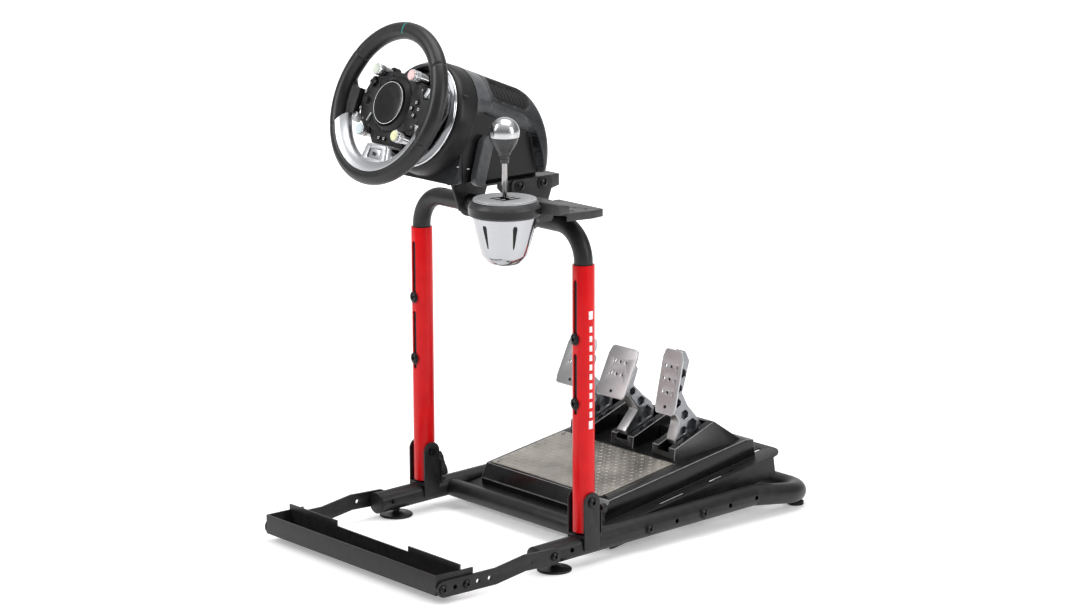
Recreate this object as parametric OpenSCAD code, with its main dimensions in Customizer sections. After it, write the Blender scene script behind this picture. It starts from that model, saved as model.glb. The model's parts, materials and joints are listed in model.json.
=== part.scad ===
// Racing wheel rig: folding tube stand carrying a tilted steering wheel with its
// motor base, a gated shifter on the right and a three-pedal set on the floor plate.
// +X is the driver's right, +Y the way the driver looks, +Z up. Millimetres.

/* [Stand] */
// outer radius of the two side rails
rail_r = 19; // [18:0.5:20]
// distance of each rail and upright from the mid-plane
half_w = 219; // [218:0.5:220]
// height the upper hoop is raised above its drawn position
lift = 0; // [-2:1:78]
// angle of the chair bar, 0 is down on the floor
bar_fold = 0; // [0:5:80]

/* [Steering wheel] */
// radius of the rim's ring, centre of the section
rim_ring = 125.5; // [124:0.5:127]
// radius of the rim's grip section
rim_sec = 14.5; // [13.5:0.5:15.5]
// lean of the wheel plane back from vertical
wheel_lean = 21.3; // [21:0.1:21.6]

/* [Pedals] */
// slope of the pedal plate
plate_slope = 8.96; // [8.5:0.1:9.5]
// width of the brake and clutch faces
face_w = 76; // [70:1:80]
// width of the throttle face
gas_w = 52; // [48:1:56]

/* [Shifter] */
// radius of the ball knob
knob_r = 25; // [22:0.5:26]

/* [Hidden] */
$fn = 48;
ymid = 113;        // puts the middle of the footprint on the origin
wy = -239.6; wz = 793.6;   // wheel centre
px0 = 148.8; pz0 = 47.9;   // a point of the pedal plate's top surface
bar_y = -86; bar_z = 33;   // chair bar pivot
piv_z = 111;       // upright pivot height
tilt_y = -25.5; tilt_z = 639.4; // wheel plate pivot
shx = 180; shy = -138.5; shz = 560; // shift lever pivot
cen_clutch = -124; cen_brake = -11; cen_gas = 100;

black = [0.07,0.07,0.075]; satin = [0.11,0.11,0.12]; red = [0.75,0.05,0.05];
steel = [0.62,0.62,0.64]; alu = [0.7,0.71,0.73]; chrome = [0.85,0.86,0.88]; leather = [0.06,0.06,0.065];

module W() translate([0,-ymid,0]) children();
module up() translate([0,-ymid,lift]) children();
module wl() translate([0,-ymid+wy,wz+lift]) rotate([90-wheel_lean,0,0]) children();
module pl() translate([0,-ymid+px0,pz0]) rotate([plate_slope,0,0]) children();
module rod(p,q,r) { v=q-p; L=norm(v); translate(p) rotate([0,acos(v[2]/L),atan2(v[1],v[0])]) cylinder(r=r,h=L); }
module xprof(x0,x1) translate([x0,0,0]) rotate([90,0,90]) linear_extrude(height=x1-x0) children();
module xcyl(x0,x1,y,z,r) translate([x0,y,z]) rotate([0,90,0]) cylinder(r=r,h=x1-x0);
module ycyl(y0,y1,x,z,r) translate([x,y0,z]) rotate([-90,0,0]) cylinder(r=r,h=y1-y0);
module sx(s) { if (s<0) mirror([1,0,0]) children(); else children(); }
// screw with a button head on the +X side; the head sits at x0
module xbolt(x0,y,z,r,len,hr,hh) { xcyl(x0-len,x0+0.1,y,z,r); difference() { xcyl(x0,x0+hh,y,z,hr); translate([x0+hh-2,y,z]) rotate([0,90,0]) cylinder(r=hr*0.42,h=3,$fn=6); } }

// ---- stand ----
// the rail rises a little towards the back
rs = atan(0.0265);
function rail_z(y) = 33.53+0.0265*y;
module rail_rod(r,y0,y1) translate([half_w,y0,rail_z(y0)]) rotate([-90+rs,0,0]) cylinder(r=r,h=(y1-y0)/cos(rs));
module rail(s) sx(s) W() difference() {
  rail_rod(rail_r,-112,410);
  rail_rod(rail_r-2,-120,420);
  translate([half_w-30,-140,0]) cube([60,31,90]);
  translate([half_w,400,44]) rotate([-rd,0,0]) translate([-30,-0.02,-60]) cube([60,40,120]);
  for (k=[0:4]) xcyl(half_w-30,half_w+30,135.7+64.4*k,rail_z(135.7+64.4*k),4.1);
  xcyl(half_w,half_w+30,-42,34,4.1); xcyl(half_w-30,half_w+30,bar_y,bar_z,4.1);
  translate([half_w,-66,0]) cylinder(r=4.1,h=33);
}
module side_rail_left() color(satin) rail(-1);
module side_rail_right() color(satin) rail(1);
// the rear tube leaves the rails sloping to the floor and turns both corners in one plane
rd = 8; rl = 146.5;
module rear_u(r,e) {
  for (x=[-half_w,half_w]) translate([x,-e,0]) rotate([-90,0,0]) cylinder(r=r,h=rl-60+e);
  translate([half_w-60,rl-60,0]) rotate_extrude(angle=90) translate([60,0]) circle(r=r);
  translate([60-half_w,rl-60,0]) rotate([0,0,90]) rotate_extrude(angle=90) translate([60,0]) circle(r=r);
  translate([60-half_w,rl,0]) rotate([0,90,0]) cylinder(r=r,h=2*half_w-120); }
module rear_tube() color(satin) W() translate([0,400,44]) rotate([-rd,0,0]) difference() { rear_u(rail_r,0); rear_u(rail_r-2,3); }
module cross_tube_front() color(satin) W() difference() {
  xcyl(-half_w,half_w,54,33,16.3); xcyl(-half_w,half_w,54,33,14.3);
  rail_rod(rail_r,0,110); mirror([1,0,0]) rail_rod(rail_r,0,110);
}
module rail_end_caps() color(black) W() for (s=[-1,1]) { ycyl(-112,-109.05,s*half_w,30.64,rail_r); ycyl(-109.5,-99,s*half_w,30.78,rail_r-2.4); }
module foldb(s) sx(s) W() difference() {
  union() {
    for (x=[half_w-22.5,half_w+19.5]) xprof(x,x+3) union() { translate([-17,28]) square([34,83]); translate([0,piv_z]) circle(r=17); translate([0,piv_z-17]) square([17,17]); }
    translate([half_w-20,22,60]) cube([40,3,32]);
    translate([half_w-20,-17,48]) cube([40,42,5.2]);
    translate([half_w-20,22,50]) cube([40,3,12]);
  }
  rail_rod(rail_r,-60,60);
  xcyl(half_w-40,half_w+40,0,piv_z,5.1);
  ycyl(10,40,half_w,78,4.1);
}
module fold_bracket_left() color(satin) foldb(-1);
module fold_bracket_right() color(satin) foldb(1);
module levelling_feet() color(black) W() for (s=[-1,1]) translate([s*half_w,-66,0]) { cylinder(r=30,h=4); translate([0,0,3]) cylinder(r1=14,r2=9,h=4); cylinder(r=4,h=26); translate([0,0,8.9]) cylinder(r=7.5,h=3.5,$fn=6); }
module rear_feet() color(black) W() for (s=[-1,1]) translate([s*201.4,527.4,0]) cylinder(r=15,h=6.1);
module frame_bolts() color(black) W() for (s=[-1,1]) sx(s) {
  for (k=[0,2]) xbolt(half_w+rail_r,135.7+64.4*k,rail_z(135.7+64.4*k),4,43.8,7.5,4.5);
  xbolt(half_w+22.5,0,piv_z,5,48,9,5);
  xcyl(half_w-27,half_w-22.5,0,piv_z,8);
  xbolt(half_w+24.8,bar_y,bar_z,4,50,7.5,4.5);
}
module lockk(s) sx(s) W() {
  ycyl(19.35,30,half_w,78,4);
  ycyl(25.3,35,half_w,78,8);
  translate([half_w,38,78]) rotate([0,28,0]) { translate([-6,-7,-17.5]) cube([12,13,35]); translate([0,-7,-17.5]) rotate([-90,0,0]) cylinder(r=6,h=13); translate([0,-7,17.5]) rotate([-90,0,0]) cylinder(r=6,h=13); }
}
module lock_knob_left() color(black) lockk(-1);
module lock_knob_right() color(black) lockk(1);

// ---- chair bar ----
module bar() translate([0,-ymid+bar_y,bar_z]) rotate([-bar_fold,0,0]) translate([0,-bar_y,-bar_z]) children();
module arm2d() difference() {
  union() { translate([-324,11]) square([110,28]); translate([-324,25]) circle(r=14);
    polygon([[-214,11],[-150,21],[-150,49],[-214,39]]); polygon([[-150.2,21],[-86,19],[-86,47],[-150.2,49]]); translate([-86,33]) circle(r=14); }
  for (y=[-327,-302,-277,-253,-228]) translate([y,25]) circle(r=4.1);
  translate([-138,34.5]) circle(r=4.1); translate([bar_y,bar_z]) circle(r=4.1);
}
module carm(s) sx(s) bar() xprof(238.6,243.6) arm2d();
module chair_arm_left() color(satin) carm(-1);
module chair_arm_right() color(satin) carm(1);
module ear(s) sx(s) { translate([100,-288,49]) cube([137.8,3,10]);
  xprof(234.8,237.8) difference() { translate([-338,15]) square([79,34]); translate([-277,25]) circle(r=4.1); translate([-327,25]) circle(r=4.1); } }
module chair_bar() color(satin) bar() difference() { union() { difference() { translate([-237.8,-338,15]) cube([475.6,53,34]); translate([-234.8,-335,18]) cube([469.6,47,40]); } ear(1); ear(-1); } for (y=[-277,-327]) xcyl(-250,250,y,25,4.1); }
module chair_bar_bolts() color(black) bar() for (s=[-1,1]) sx(s) { xbolt(243.6,-277,25,4,14,7.5,4.5); xbolt(243.6,-327,25,4,10,s<0?11.5:8,s<0?10.4:4.5); }

// ---- pedals ----
module plate2d() difference() {
  union() { translate([-197,-74.5]) square([394,404]); translate([-167,-74.5]) square([334,434]); for (s=[-1,1]) translate([s*167,329.5]) circle(r=30); }
  for (x=[-150,-90,-30,30,90,150]) translate([x-4,268]) { square([8,70]); translate([4,0]) circle(r=4); translate([4,70]) circle(r=4); }
  for (s=[-1,1]) for (v=[60,180]) translate([s*182-4,v]) square([8,60]);
}
module pedal_plate() color(satin) difference() {
  pl() { translate([0,0,-3]) linear_extrude(height=3) plate2d(); for (s=[-1,1]) translate([s>0?194:-197,-74.5,-36]) cube([3,404,34]); translate([-197,-74.5,-14]) cube([394,3,12]); }
  W() for (k=[0,2]) xcyl(-210,210,135.7+64.4*k,rail_z(135.7+64.4*k),4.1);
  W() translate([-220,0,-50]) cube([440,400,52]);
}
module podblk(c,w) xprof(c-w/2,c+w/2) polygon([[150,34],[156,58],[256,78],[292,36]]);
module pedal_base() color(black) pl() difference() {
  union() {
    xprof(-168,168) polygon([[-57,0],[-57,14],[-40,38],[292,38],[312,32],[312,0]]);
    podblk(cen_gas,60); podblk(cen_brake,60); podblk(cen_clutch,60);
  }
  translate([-158,-38,36]) cube([301,177,5]);
  for (c=[cen_gas,cen_brake,cen_clutch]) { translate([c-14,154,12]) cube([28,98,70]); xcyl(c-24,c+24,205,48,5.02); }
  xprof(-164,164) polygon([[-50,-1],[-50,8],[-34,31],[126,31],[126,-1]]);
  translate([-164,244,-1]) cube([328,62,32]);
}
module heel_plate() color(steel) pl() difference() {
  translate([-157,-37,36]) cube([299,175,4.5]);
  for (x=[-148,133]) for (v=[-28,129]) translate([x,v,38]) cylinder(r=3,h=5);
}
module pedal_pins() color(steel) pl() for (c=[cen_gas,cen_brake,cen_clutch]) xcyl(c-23.5,c+23.5,205,48,5);
// side profile of a pedal arm, in the plate's own plane: foot of the arm at the pivot
module arm_prof(top) difference() {
  union() {
    translate([205,48]) circle(r=15);
    if (top) polygon([[190,45],[220,45],[236,62],[243,72],[235,88],[215,118],[205,146],[231,199],[224,222],[209,217],[169,117],[181,118],[192,96],[177,66],[176,54]]);
    else polygon([[190,45],[220,45],[229,84],[226,100],[207,120],[188,146],[203,172],[197,186],[191,208],[144,140],[160,143],[174,130],[191,96],[156,66],[158,56]]);
  }
  translate([205,48]) circle(r=5.05);
  if (top) { translate([216,78]) circle(r=9); translate([206,104]) circle(r=7); translate([193,130]) circle(r=6.5); translate([200,156]) circle(r=6); translate([211,180]) circle(r=6.5); }
  else { translate([210,86]) circle(r=9); translate([198,110]) circle(r=7); translate([181,134]) circle(r=6); translate([174,156]) circle(r=7); translate([188,176]) circle(r=6.5); }
}
module face(c,w,p,ang,len,nr,nc) pl() translate([c,p[0],p[1]]) rotate([ang,0,0]) difference() {
  linear_extrude(height=4) union() { translate([-w/2+5,0]) square([w-10,len]); translate([-w/2,5]) square([w,len-10]); for (a=[-1,1]) for (b=[5,len-5]) translate([a*(w/2-5),b]) circle(r=5); }
  for (i=[0:nc-1]) for (j=[0:nr-1]) translate([(i-(nc-1)/2)*w/(nc+0.6),len/2+(j-(nr-1)/2)*len/(nr+0.5),-1]) cylinder(r=3.6,h=6);
}
// the faces' back plane is the line the arms end on
module parm(c,top,p,ang) pl() difference() { translate([c,0,0]) xprof(-11,11) arm_prof(top);
  translate([c,p[0],p[1]]) rotate([ang,0,0]) translate([-60,-60,0]) cube([120,300,60]); }
ga = 68.8; gp = [168.2,114.5]; ba = 55.6; bp = [138.6,135.5];
module clutch_arm() color(alu) parm(cen_clutch,false,bp,ba);
module brake_arm() color(alu) parm(cen_brake,false,bp,ba);
module throttle_arm() color(alu) parm(cen_gas,true,gp,ga);
module clutch_face() color(alu) face(cen_clutch,face_w,bp,ba,95,2,3);
module brake_face() color(alu) face(cen_brake,face_w,bp,ba,95,2,3);
module throttle_face() color(alu) face(cen_gas,gas_w,gp,ga,118,3,3);

// ---- uprights and hoop ----
module upr(s) sx(s) W() difference() {
  translate([half_w,0,57]) cylinder(r=19.05,h=464.6);
  translate([half_w,0,50]) cylinder(r=16.5,h=480);
  xcyl(half_w-30,half_w+30,0,piv_z,5.1);
  for (z=[[264,370],[388,497]]) { translate([half_w-4.5,-30,z[0]+4.5]) cube([9,30,z[1]-z[0]-9]); ycyl(-30,0,half_w,z[0]+4.5,4.5); ycyl(-30,0,half_w,z[1]-4.5,4.5); }
}
module upright_left() color(red) upr(-1);
module upright_right() color(red) upr(1);
module hoop_half(r,e) { translate([half_w,0,240-e]) cylinder(r=r,h=284+e);
  translate([half_w-60,0,524]) rotate([90,0,0]) rotate_extrude(angle=90) translate([60,0]) circle(r=r);
  translate([-e,0,584]) rotate([0,90,0]) cylinder(r=r,h=half_w-60+e); }
module hoop_br(s) sx(s) difference() {
  xprof(80.6,84.6) difference() {
    union() { polygon([[-24,572],[24,572],[46,630],[46,645],[40,651],[-38,651],[-44,645],[-44,630]]); translate([0,584]) circle(r=24); }
    translate([tilt_y,tilt_z]) circle(r=4.1);
    for (a=[-6:1:6]) translate([tilt_y+51*cos(a),tilt_z+51*sin(a)]) circle(r=4.4,$fn=24);
  }
  xcyl(60,100,0,584,15.5);
}
module upper_hoop() color(satin) up() difference() {
  union() { hoop_half(16,1); mirror([1,0,0]) hoop_half(16,1); hoop_br(1); hoop_br(-1); }
  hoop_half(14,3); mirror([1,0,0]) hoop_half(14,3);
  for (s=[-1,1]) for (z=[283,395]) ycyl(-25,0,s*half_w,z,4.25);
  for (s=[-1,1]) translate([s*150,0,590]) cylinder(r=4.1,h=20);
}
module height_bolts() color(black) up() for (s=[-1,1]) for (z=[283,395]) difference() { union() { ycyl(-19.5,-8,s*half_w,z,4.1); ycyl(-24.2,-19.5,s*half_w,z,8); } translate([s*half_w,-25,z]) rotate([-90,0,0]) cylinder(r=3.2,h=2.5,$fn=6); }

// ---- shifter ----
module shifter_bracket() color(satin) up() difference() {
  union() {
    translate([0,0,615]) linear_extrude(height=4) polygon([[138,-30],[165,-84],[246,-60],[254,-10],[250,16],[138,16]]);
    translate([0,0,606]) linear_extrude(height=9.5) polygon([[243,-57],[246,-60],[254,-10],[250,16],[247,16],[251,-10]]);
    translate([140,-14,592]) cube([18,28,24]);
    translate([152,-92,602]) cube([56,32,13.5]);
  }
  translate([100,0,584]) rotate([0,90,0]) cylinder(r=16,h=100);
  for (p=[[215,-40],[232,-36],[215,-16],[234,-8]]) translate([p[0],p[1],600]) cylinder(r=3.2,h=30);
  translate([shx,shy,590]) cylinder(r=58.1,h=40);
}
module cup_out(o) { translate([0,0,552]) cylinder(r1=38.5-o,r2=54.5-o,h=65); translate([0,0,536]) cylinder(r1=24-o,r2=38.5-o,h=16); }
module shifter_cup() color(chrome) up() translate([shx,shy,0]) difference() {
  union() { difference() { cup_out(0); translate([0,0,552]) cylinder(r1=35,r2=51.25,h=66); translate([0,0,539.5]) cylinder(r1=22.5,r2=35,h=12.6); }
    for (s=[-1,1]) intersection() { translate([-6,s>0?23:-43,540]) cube([12,20,30]); cup_out(1); } }
  ycyl(-29.5,29.5,0,shz,3.05);
  for (a=[40:60:340]) rotate([0,0,a]) translate([42,-3.5,567]) cube([14,7,40]);
}
module shifter_collar() color(black) up() translate([shx,shy,0]) difference() { translate([0,0,617]) cylinder(r=58,h=26); translate([0,0,616]) cylinder(r=47,h=30); }
module gate2d() { for (x=[-13.5,0,13.5]) { translate([x-4.8,-17.5]) square([9.6,35]); for (y=[-17.5,17.5]) translate([x,y]) circle(r=4.8); } translate([-13.5,-4.8]) square([27,9.6]); }
module gate_plate() color(steel) up() translate([shx,shy,643]) difference() { union() { cylinder(r=53,h=3); translate([0,0,-3]) cylinder(r=46.9,h=3); } translate([0,0,-4]) linear_extrude(height=9) gate2d(); for (a=[45:90:315]) rotate([0,0,a]) translate([45,0,1.5]) cylinder(r=2.6,h=3); }
module shifter_gimbal() color(steel) up() translate([shx,shy,shz]) difference() {
  union() { translate([0,0,-5]) cylinder(r=20,h=10); ycyl(-29,-18,0,0,3); ycyl(18,29,0,0,3); }
  translate([0,0,-6]) cylinder(r=13,h=12); xcyl(-25,25,0,0,3.05);
}
module shift_lever() color(chrome) up() translate([shx,shy,shz]) { difference() { union() { cylinder(r=3.6,h=112); translate([0,0,150]) cylinder(r=4,h=25); sphere(r=9); xcyl(-19.5,19.5,0,0,3); translate([0,0,110]) cylinder(r=5,h=62); } } }
module shift_knob() color(chrome) up() translate([shx,shy,shz]) difference() { union() { translate([0,0,196]) sphere(r=knob_r); translate([0,0,162]) cylinder(r1=8,r2=17,h=20); } translate([0,0,155]) cylinder(r=5.02,h=17.2); translate([0,0,170]) cylinder(r=4.02,h=5.3); }

// ---- wheel base ----
module wheel_plate() color(satin) up() difference() {
  union() { translate([-80,-95,647]) cube([160,161,3]);
    for (s=[-1,1]) sx(s) xprof(77,80) polygon([[-70,648],[66,648],[66,630],[40,624],[-51,621],[-70,640]]); }
  for (y=[tilt_y,-tilt_y]) xcyl(-90,90,y,tilt_z,4.1);
  for (x=[-45,45]) for (y=[-70,30]) translate([x,y,640]) cylinder(r=4.1,h=20);
}
module tilt_bolts() color(black) up() for (s=[-1,1]) sx(s) for (y=[tilt_y,-tilt_y]) { xbolt(84.9,y,tilt_z,4,12,8,4.5); }
module body2d(o) { circle(r=98-o); translate([-(88-o),-(150-o)]) square([2*(88-o),150-o]); }
module body3d(o) intersection() {
  wl() translate([0,0,-360]) linear_extrude(height=360-112-o) body2d(o);
  up() translate([-120,-400,658+o]) cube([240,432-o,300]);
}
module base_shell() color(black) difference() {
  union() { intersection() { body3d(0); wl() translate([-150,-200,-400]) cube([300,199.9,400]); } up() translate([-62,-85,650]) cube([124,116,9]); }
  body3d(4);
  wl() translate([0,0,-130]) cylinder(r=84.1,h=60);
  up() for (x=[-45,45]) for (y=[-70,30]) translate([x,y,645]) cylinder(r=3,h=10);
}
module base_cover() color([0.13,0.13,0.14]) difference() {
  intersection() { body3d(0); wl() translate([-150,0,-400]) cube([300,200,400]); }
  body3d(4);
  wl() translate([0,0,-130]) cylinder(r=84.1,h=60);
  for (s=[-1,1]) wl() rotate([0,0,34*s]) translate([-30,80,-250]) cube([60,40,88]);
}
module vent_grille() color(black) for (s=[-1,1]) wl() rotate([0,0,34*s]) intersection() { difference() { cylinder(r=97,h=1000,center=true); cylinder(r=93.4,h=1001,center=true); }
  difference() { translate([-29.7,80,-249.7]) cube([59.4,40,87.4]); for (k=[0:6]) translate([-25,70,-245+12*k]) cube([50,60,6]); } }
module base_drum() color(black) wl() difference() {
  union() { translate([0,0,-112]) cylinder(r=96,h=34); translate([0,0,-78]) cylinder(r1=96,r2=91,h=5); translate([0,0,-124]) cylinder(r=84,h=14); }
  translate([0,0,-125]) cylinder(r=12.1,h=60);
  translate([0,0,-75]) cylinder(r=76,h=4);
}
module front_ring() color(chrome) wl() difference() { translate([0,0,-73]) cylinder(r1=90,r2=85,h=12); translate([0,0,-74]) cylinder(r=76,h=14); }

// ---- steering wheel ----
module wheel_shaft() color(steel) wl() { translate([0,0,-160]) cylinder(r=12,h=119.9); translate([0,0,-74.5]) cylinder(r=30,h=34.4); translate([0,0,-68]) cylinder(r=35,h=14); }
module sector2d(r,a0,a1) polygon([[0,0],[r*cos(a0),r*sin(a0)],[r*cos((2*a0+a1)/3),r*sin((2*a0+a1)/3)]*1.0,[r*cos((a0+2*a1)/3),r*sin((a0+2*a1)/3)],[r*cos(a1),r*sin(a1)]]);
module low_arc(r0,r1,f0,f1) translate([0,0,f0]) linear_extrude(height=f1-f0) intersection() { difference() { circle(r=r1); circle(r=r0); } sector2d(300,197,343); }
module rim_grip() color(leather) wl() difference() {
  union() { rotate_extrude($fn=72) translate([rim_ring,0]) circle(r=rim_sec);
    for (s=[-1,1]) sx(s) difference() { translate([0,0,-14]) linear_extrude(height=13) polygon([[84.5,18],[96,17],[122,26],[124,-36],[98,-27],[84.5,-26]]); } }
  low_arc(90,118,-15,15);
}
module spoke_frame() color(alu) wl() difference() {
  union() { low_arc(98,117.9,-11,11); translate([0,0,-14]) linear_extrude(height=14) polygon([[-27,-70],[27,-70],[33,-104],[-33,-104]]); }
  for (s=[-1,1]) translate([s*9,-87,-3]) cylinder(r=3,h=4);
  sx(1) translate([0,0,-14.2]) linear_extrude(height=14) polygon([[84.4,19],[125,27],[125,-37],[98,-27.2],[84.4,-26.2]]);
  sx(-1) translate([0,0,-14.2]) linear_extrude(height=14) polygon([[84.4,19],[125,27],[125,-37],[98,-27.2],[84.4,-26.2]]);
}
enc = [[-47.5,53],[47.5,53],[-47.5,-51.5],[47.5,-51.5]];
btn = [[64.5,11],[74,0],[64.5,-11],[54.5,0]];
module hub2d() polygon([[-32,56],[32,56],[71,38],[84,8],[84,-10],[72,-38],[26,-69.5],[-26,-69.5],[-72,-38],[-84,-10],[-84,8],[-71,38]]);
module hub_housing() color(black) wl() difference() {
  union() { translate([0,0,-40]) linear_extrude(height=32) hub2d(); for (p=enc) translate([p[0],p[1],-40]) cylinder(r=12,h=9); translate([0,0,-10]) cylinder(r=42,h=8); }
  for (p=enc) translate([p[0],p[1],-31]) cylinder(r=10,h=40);
  for (p=enc) translate([p[0],p[1],-38]) cylinder(r=3.1,h=12);
  for (p=btn) translate([p[0],p[1],-20]) cylinder(r=4.3,h=20);
  translate([-61,33,-16]) cylinder(r=9.3,h=20);
  translate([0,0,-4]) cylinder(r=37.1,h=5);
}
module centre_cap() color([0.1,0.1,0.1]) wl() union() { translate([0,0,-4]) cylinder(r=37,h=5); translate([0,0,1]) cylinder(r1=36,r2=35,h=1); }
module encoder(i) wl() translate([enc[i][0],enc[i][1],0]) { difference() { union() { translate([0,0,-8]) cylinder(r=9,h=16); translate([0,0,-30.6]) cylinder(r=7.5,h=23); } for (a=[0:24:345]) rotate([0,0,a]) translate([9.2,0,-9]) cylinder(r=0.9,h=15,$fn=16); } translate([0,0,-37]) cylinder(r=3,h=8); }
module encoder_ul() color(chrome) encoder(0);
module encoder_ur() color(chrome) encoder(1);
module encoder_ll() color(chrome) encoder(2);
module encoder_lr() color(chrome) encoder(3);
module paddle(s) sx(s) wl() { difference() { translate([0,0,-48]) linear_extrude(height=4) polygon([[40,-22],[58,-34],[88,-26],[101,6],[97,40],[84,46],[66,38],[40,16]]); translate([0,0,-54]) cylinder(r=38,h=20); } translate([40,-20,-46]) rotate([-90,0,0]) cylinder(r=3,h=34); }
module paddle_left() color(alu) paddle(-1);
module paddle_right() color(alu) paddle(1);
module dpad() color(black) wl() translate([-61,33,-14.4]) { cylinder(r=9,h=3); for (a=[0,90]) rotate([0,0,a]) translate([-8,-2.6,0]) cube([16,5.2,10.5]); }
module button(i) wl() translate([btn[i][0],btn[i][1],-18.6]) cylinder(r=4,h=13);
module button_top() color(black) button(0);
module button_right() color(black) button(1);
module button_bottom() color(black) button(2);
module button_left() color(black) button(3);

side_rail_left();
side_rail_right();
rear_tube();
cross_tube_front();
rail_end_caps();
fold_bracket_left();
fold_bracket_right();
levelling_feet();
rear_feet();
frame_bolts();
lock_knob_left();
lock_knob_right();
chair_arm_left();
chair_arm_right();
chair_bar();
chair_bar_bolts();
pedal_plate();
pedal_base();
heel_plate();
pedal_pins();
clutch_arm();
clutch_face();
brake_arm();
brake_face();
throttle_arm();
throttle_face();
upright_left();
upright_right();
upper_hoop();
height_bolts();
shifter_bracket();
shifter_cup();
shifter_collar();
gate_plate();
shifter_gimbal();
shift_lever();
shift_knob();
wheel_plate();
tilt_bolts();
base_drum();
base_shell();
base_cover();
vent_grille();
front_ring();
wheel_shaft();
rim_grip();
spoke_frame();
hub_housing();
centre_cap();
encoder_ul();
encoder_ur();
encoder_ll();
encoder_lr();
paddle_left();
paddle_right();
dpad();
button_top();
button_right();
button_bottom();
button_left();
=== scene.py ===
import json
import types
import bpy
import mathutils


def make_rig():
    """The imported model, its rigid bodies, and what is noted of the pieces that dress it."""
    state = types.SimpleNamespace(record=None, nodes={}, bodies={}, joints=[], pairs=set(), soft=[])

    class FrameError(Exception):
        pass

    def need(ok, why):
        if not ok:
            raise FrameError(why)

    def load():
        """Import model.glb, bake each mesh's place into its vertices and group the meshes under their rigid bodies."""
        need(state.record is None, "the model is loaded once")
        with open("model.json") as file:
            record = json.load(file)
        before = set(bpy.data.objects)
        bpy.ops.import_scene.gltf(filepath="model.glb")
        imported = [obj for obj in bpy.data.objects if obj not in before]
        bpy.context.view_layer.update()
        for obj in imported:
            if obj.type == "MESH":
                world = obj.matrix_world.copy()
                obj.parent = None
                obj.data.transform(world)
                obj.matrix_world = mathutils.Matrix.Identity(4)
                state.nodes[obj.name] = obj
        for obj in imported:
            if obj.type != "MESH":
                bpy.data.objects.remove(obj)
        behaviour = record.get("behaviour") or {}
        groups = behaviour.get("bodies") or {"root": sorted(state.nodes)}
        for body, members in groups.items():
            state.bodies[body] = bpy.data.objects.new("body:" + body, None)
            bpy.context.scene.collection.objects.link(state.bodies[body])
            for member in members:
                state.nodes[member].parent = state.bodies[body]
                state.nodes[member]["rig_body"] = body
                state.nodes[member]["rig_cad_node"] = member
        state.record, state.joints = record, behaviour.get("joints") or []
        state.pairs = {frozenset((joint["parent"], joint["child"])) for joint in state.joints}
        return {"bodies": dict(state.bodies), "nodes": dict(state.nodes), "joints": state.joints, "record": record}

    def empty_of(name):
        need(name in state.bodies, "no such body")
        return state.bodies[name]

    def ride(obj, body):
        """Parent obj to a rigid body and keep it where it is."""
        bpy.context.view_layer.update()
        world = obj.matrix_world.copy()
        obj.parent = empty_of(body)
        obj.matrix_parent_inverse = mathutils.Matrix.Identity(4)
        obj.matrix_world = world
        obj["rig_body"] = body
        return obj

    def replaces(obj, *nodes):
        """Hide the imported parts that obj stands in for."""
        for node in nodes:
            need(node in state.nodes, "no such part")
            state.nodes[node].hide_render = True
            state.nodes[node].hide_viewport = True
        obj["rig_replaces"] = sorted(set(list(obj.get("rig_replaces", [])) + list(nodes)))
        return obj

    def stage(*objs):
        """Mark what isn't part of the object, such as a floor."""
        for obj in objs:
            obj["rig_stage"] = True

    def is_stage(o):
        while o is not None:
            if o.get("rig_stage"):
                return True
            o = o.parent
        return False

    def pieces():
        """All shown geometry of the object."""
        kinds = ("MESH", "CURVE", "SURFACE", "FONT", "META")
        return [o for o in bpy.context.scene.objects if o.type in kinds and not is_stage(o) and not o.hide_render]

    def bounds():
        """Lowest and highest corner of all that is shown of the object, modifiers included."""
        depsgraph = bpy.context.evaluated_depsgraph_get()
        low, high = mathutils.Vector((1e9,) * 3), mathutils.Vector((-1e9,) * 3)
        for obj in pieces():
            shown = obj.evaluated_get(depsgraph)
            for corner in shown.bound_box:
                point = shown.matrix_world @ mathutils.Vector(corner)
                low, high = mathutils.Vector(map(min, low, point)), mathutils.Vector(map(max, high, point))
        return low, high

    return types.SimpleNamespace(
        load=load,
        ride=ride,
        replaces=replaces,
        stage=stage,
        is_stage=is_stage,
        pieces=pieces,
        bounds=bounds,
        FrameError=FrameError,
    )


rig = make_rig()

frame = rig.load()
import bpy, bmesh, json, math, random
from mathutils import Vector, Matrix
cad_lo, cad_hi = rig.bounds()
random.seed(7)
R = math.radians
YM = 113.0
N = frame["nodes"]

# ------------------------------------------------------------ materials
def mat(name, base, rough, metal=0.0, coat=0.0, coat_rough=0.1, spec=0.5, aniso=0.0):
    m = bpy.data.materials.new(name); m.use_nodes = True
    nt = m.node_tree; b = nt.nodes["Principled BSDF"]
    b.inputs["Base Color"].default_value = (*base, 1)
    b.inputs["Roughness"].default_value = rough
    b.inputs["Metallic"].default_value = metal
    b.inputs["Coat Weight"].default_value = coat
    b.inputs["Coat Roughness"].default_value = coat_rough
    b.inputs["Specular IOR Level"].default_value = spec
    b.inputs["Anisotropic"].default_value = aniso
    return m, nt, b

def node(nt, kind, **kw):
    n = nt.nodes.new(kind)
    for k, v in kw.items():
        if k in n.inputs: n.inputs[k].default_value = v
        else: setattr(n, k, v)
    return n

def coords(nt, scale=(1, 1, 1), rot=(0, 0, 0)):
    tc = nt.nodes.new("ShaderNodeTexCoord"); mp = nt.nodes.new("ShaderNodeMapping")
    mp.inputs["Scale"].default_value = scale; mp.inputs["Rotation"].default_value = rot
    nt.links.new(tc.outputs["Object"], mp.inputs["Vector"]); return mp.outputs["Vector"]

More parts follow.
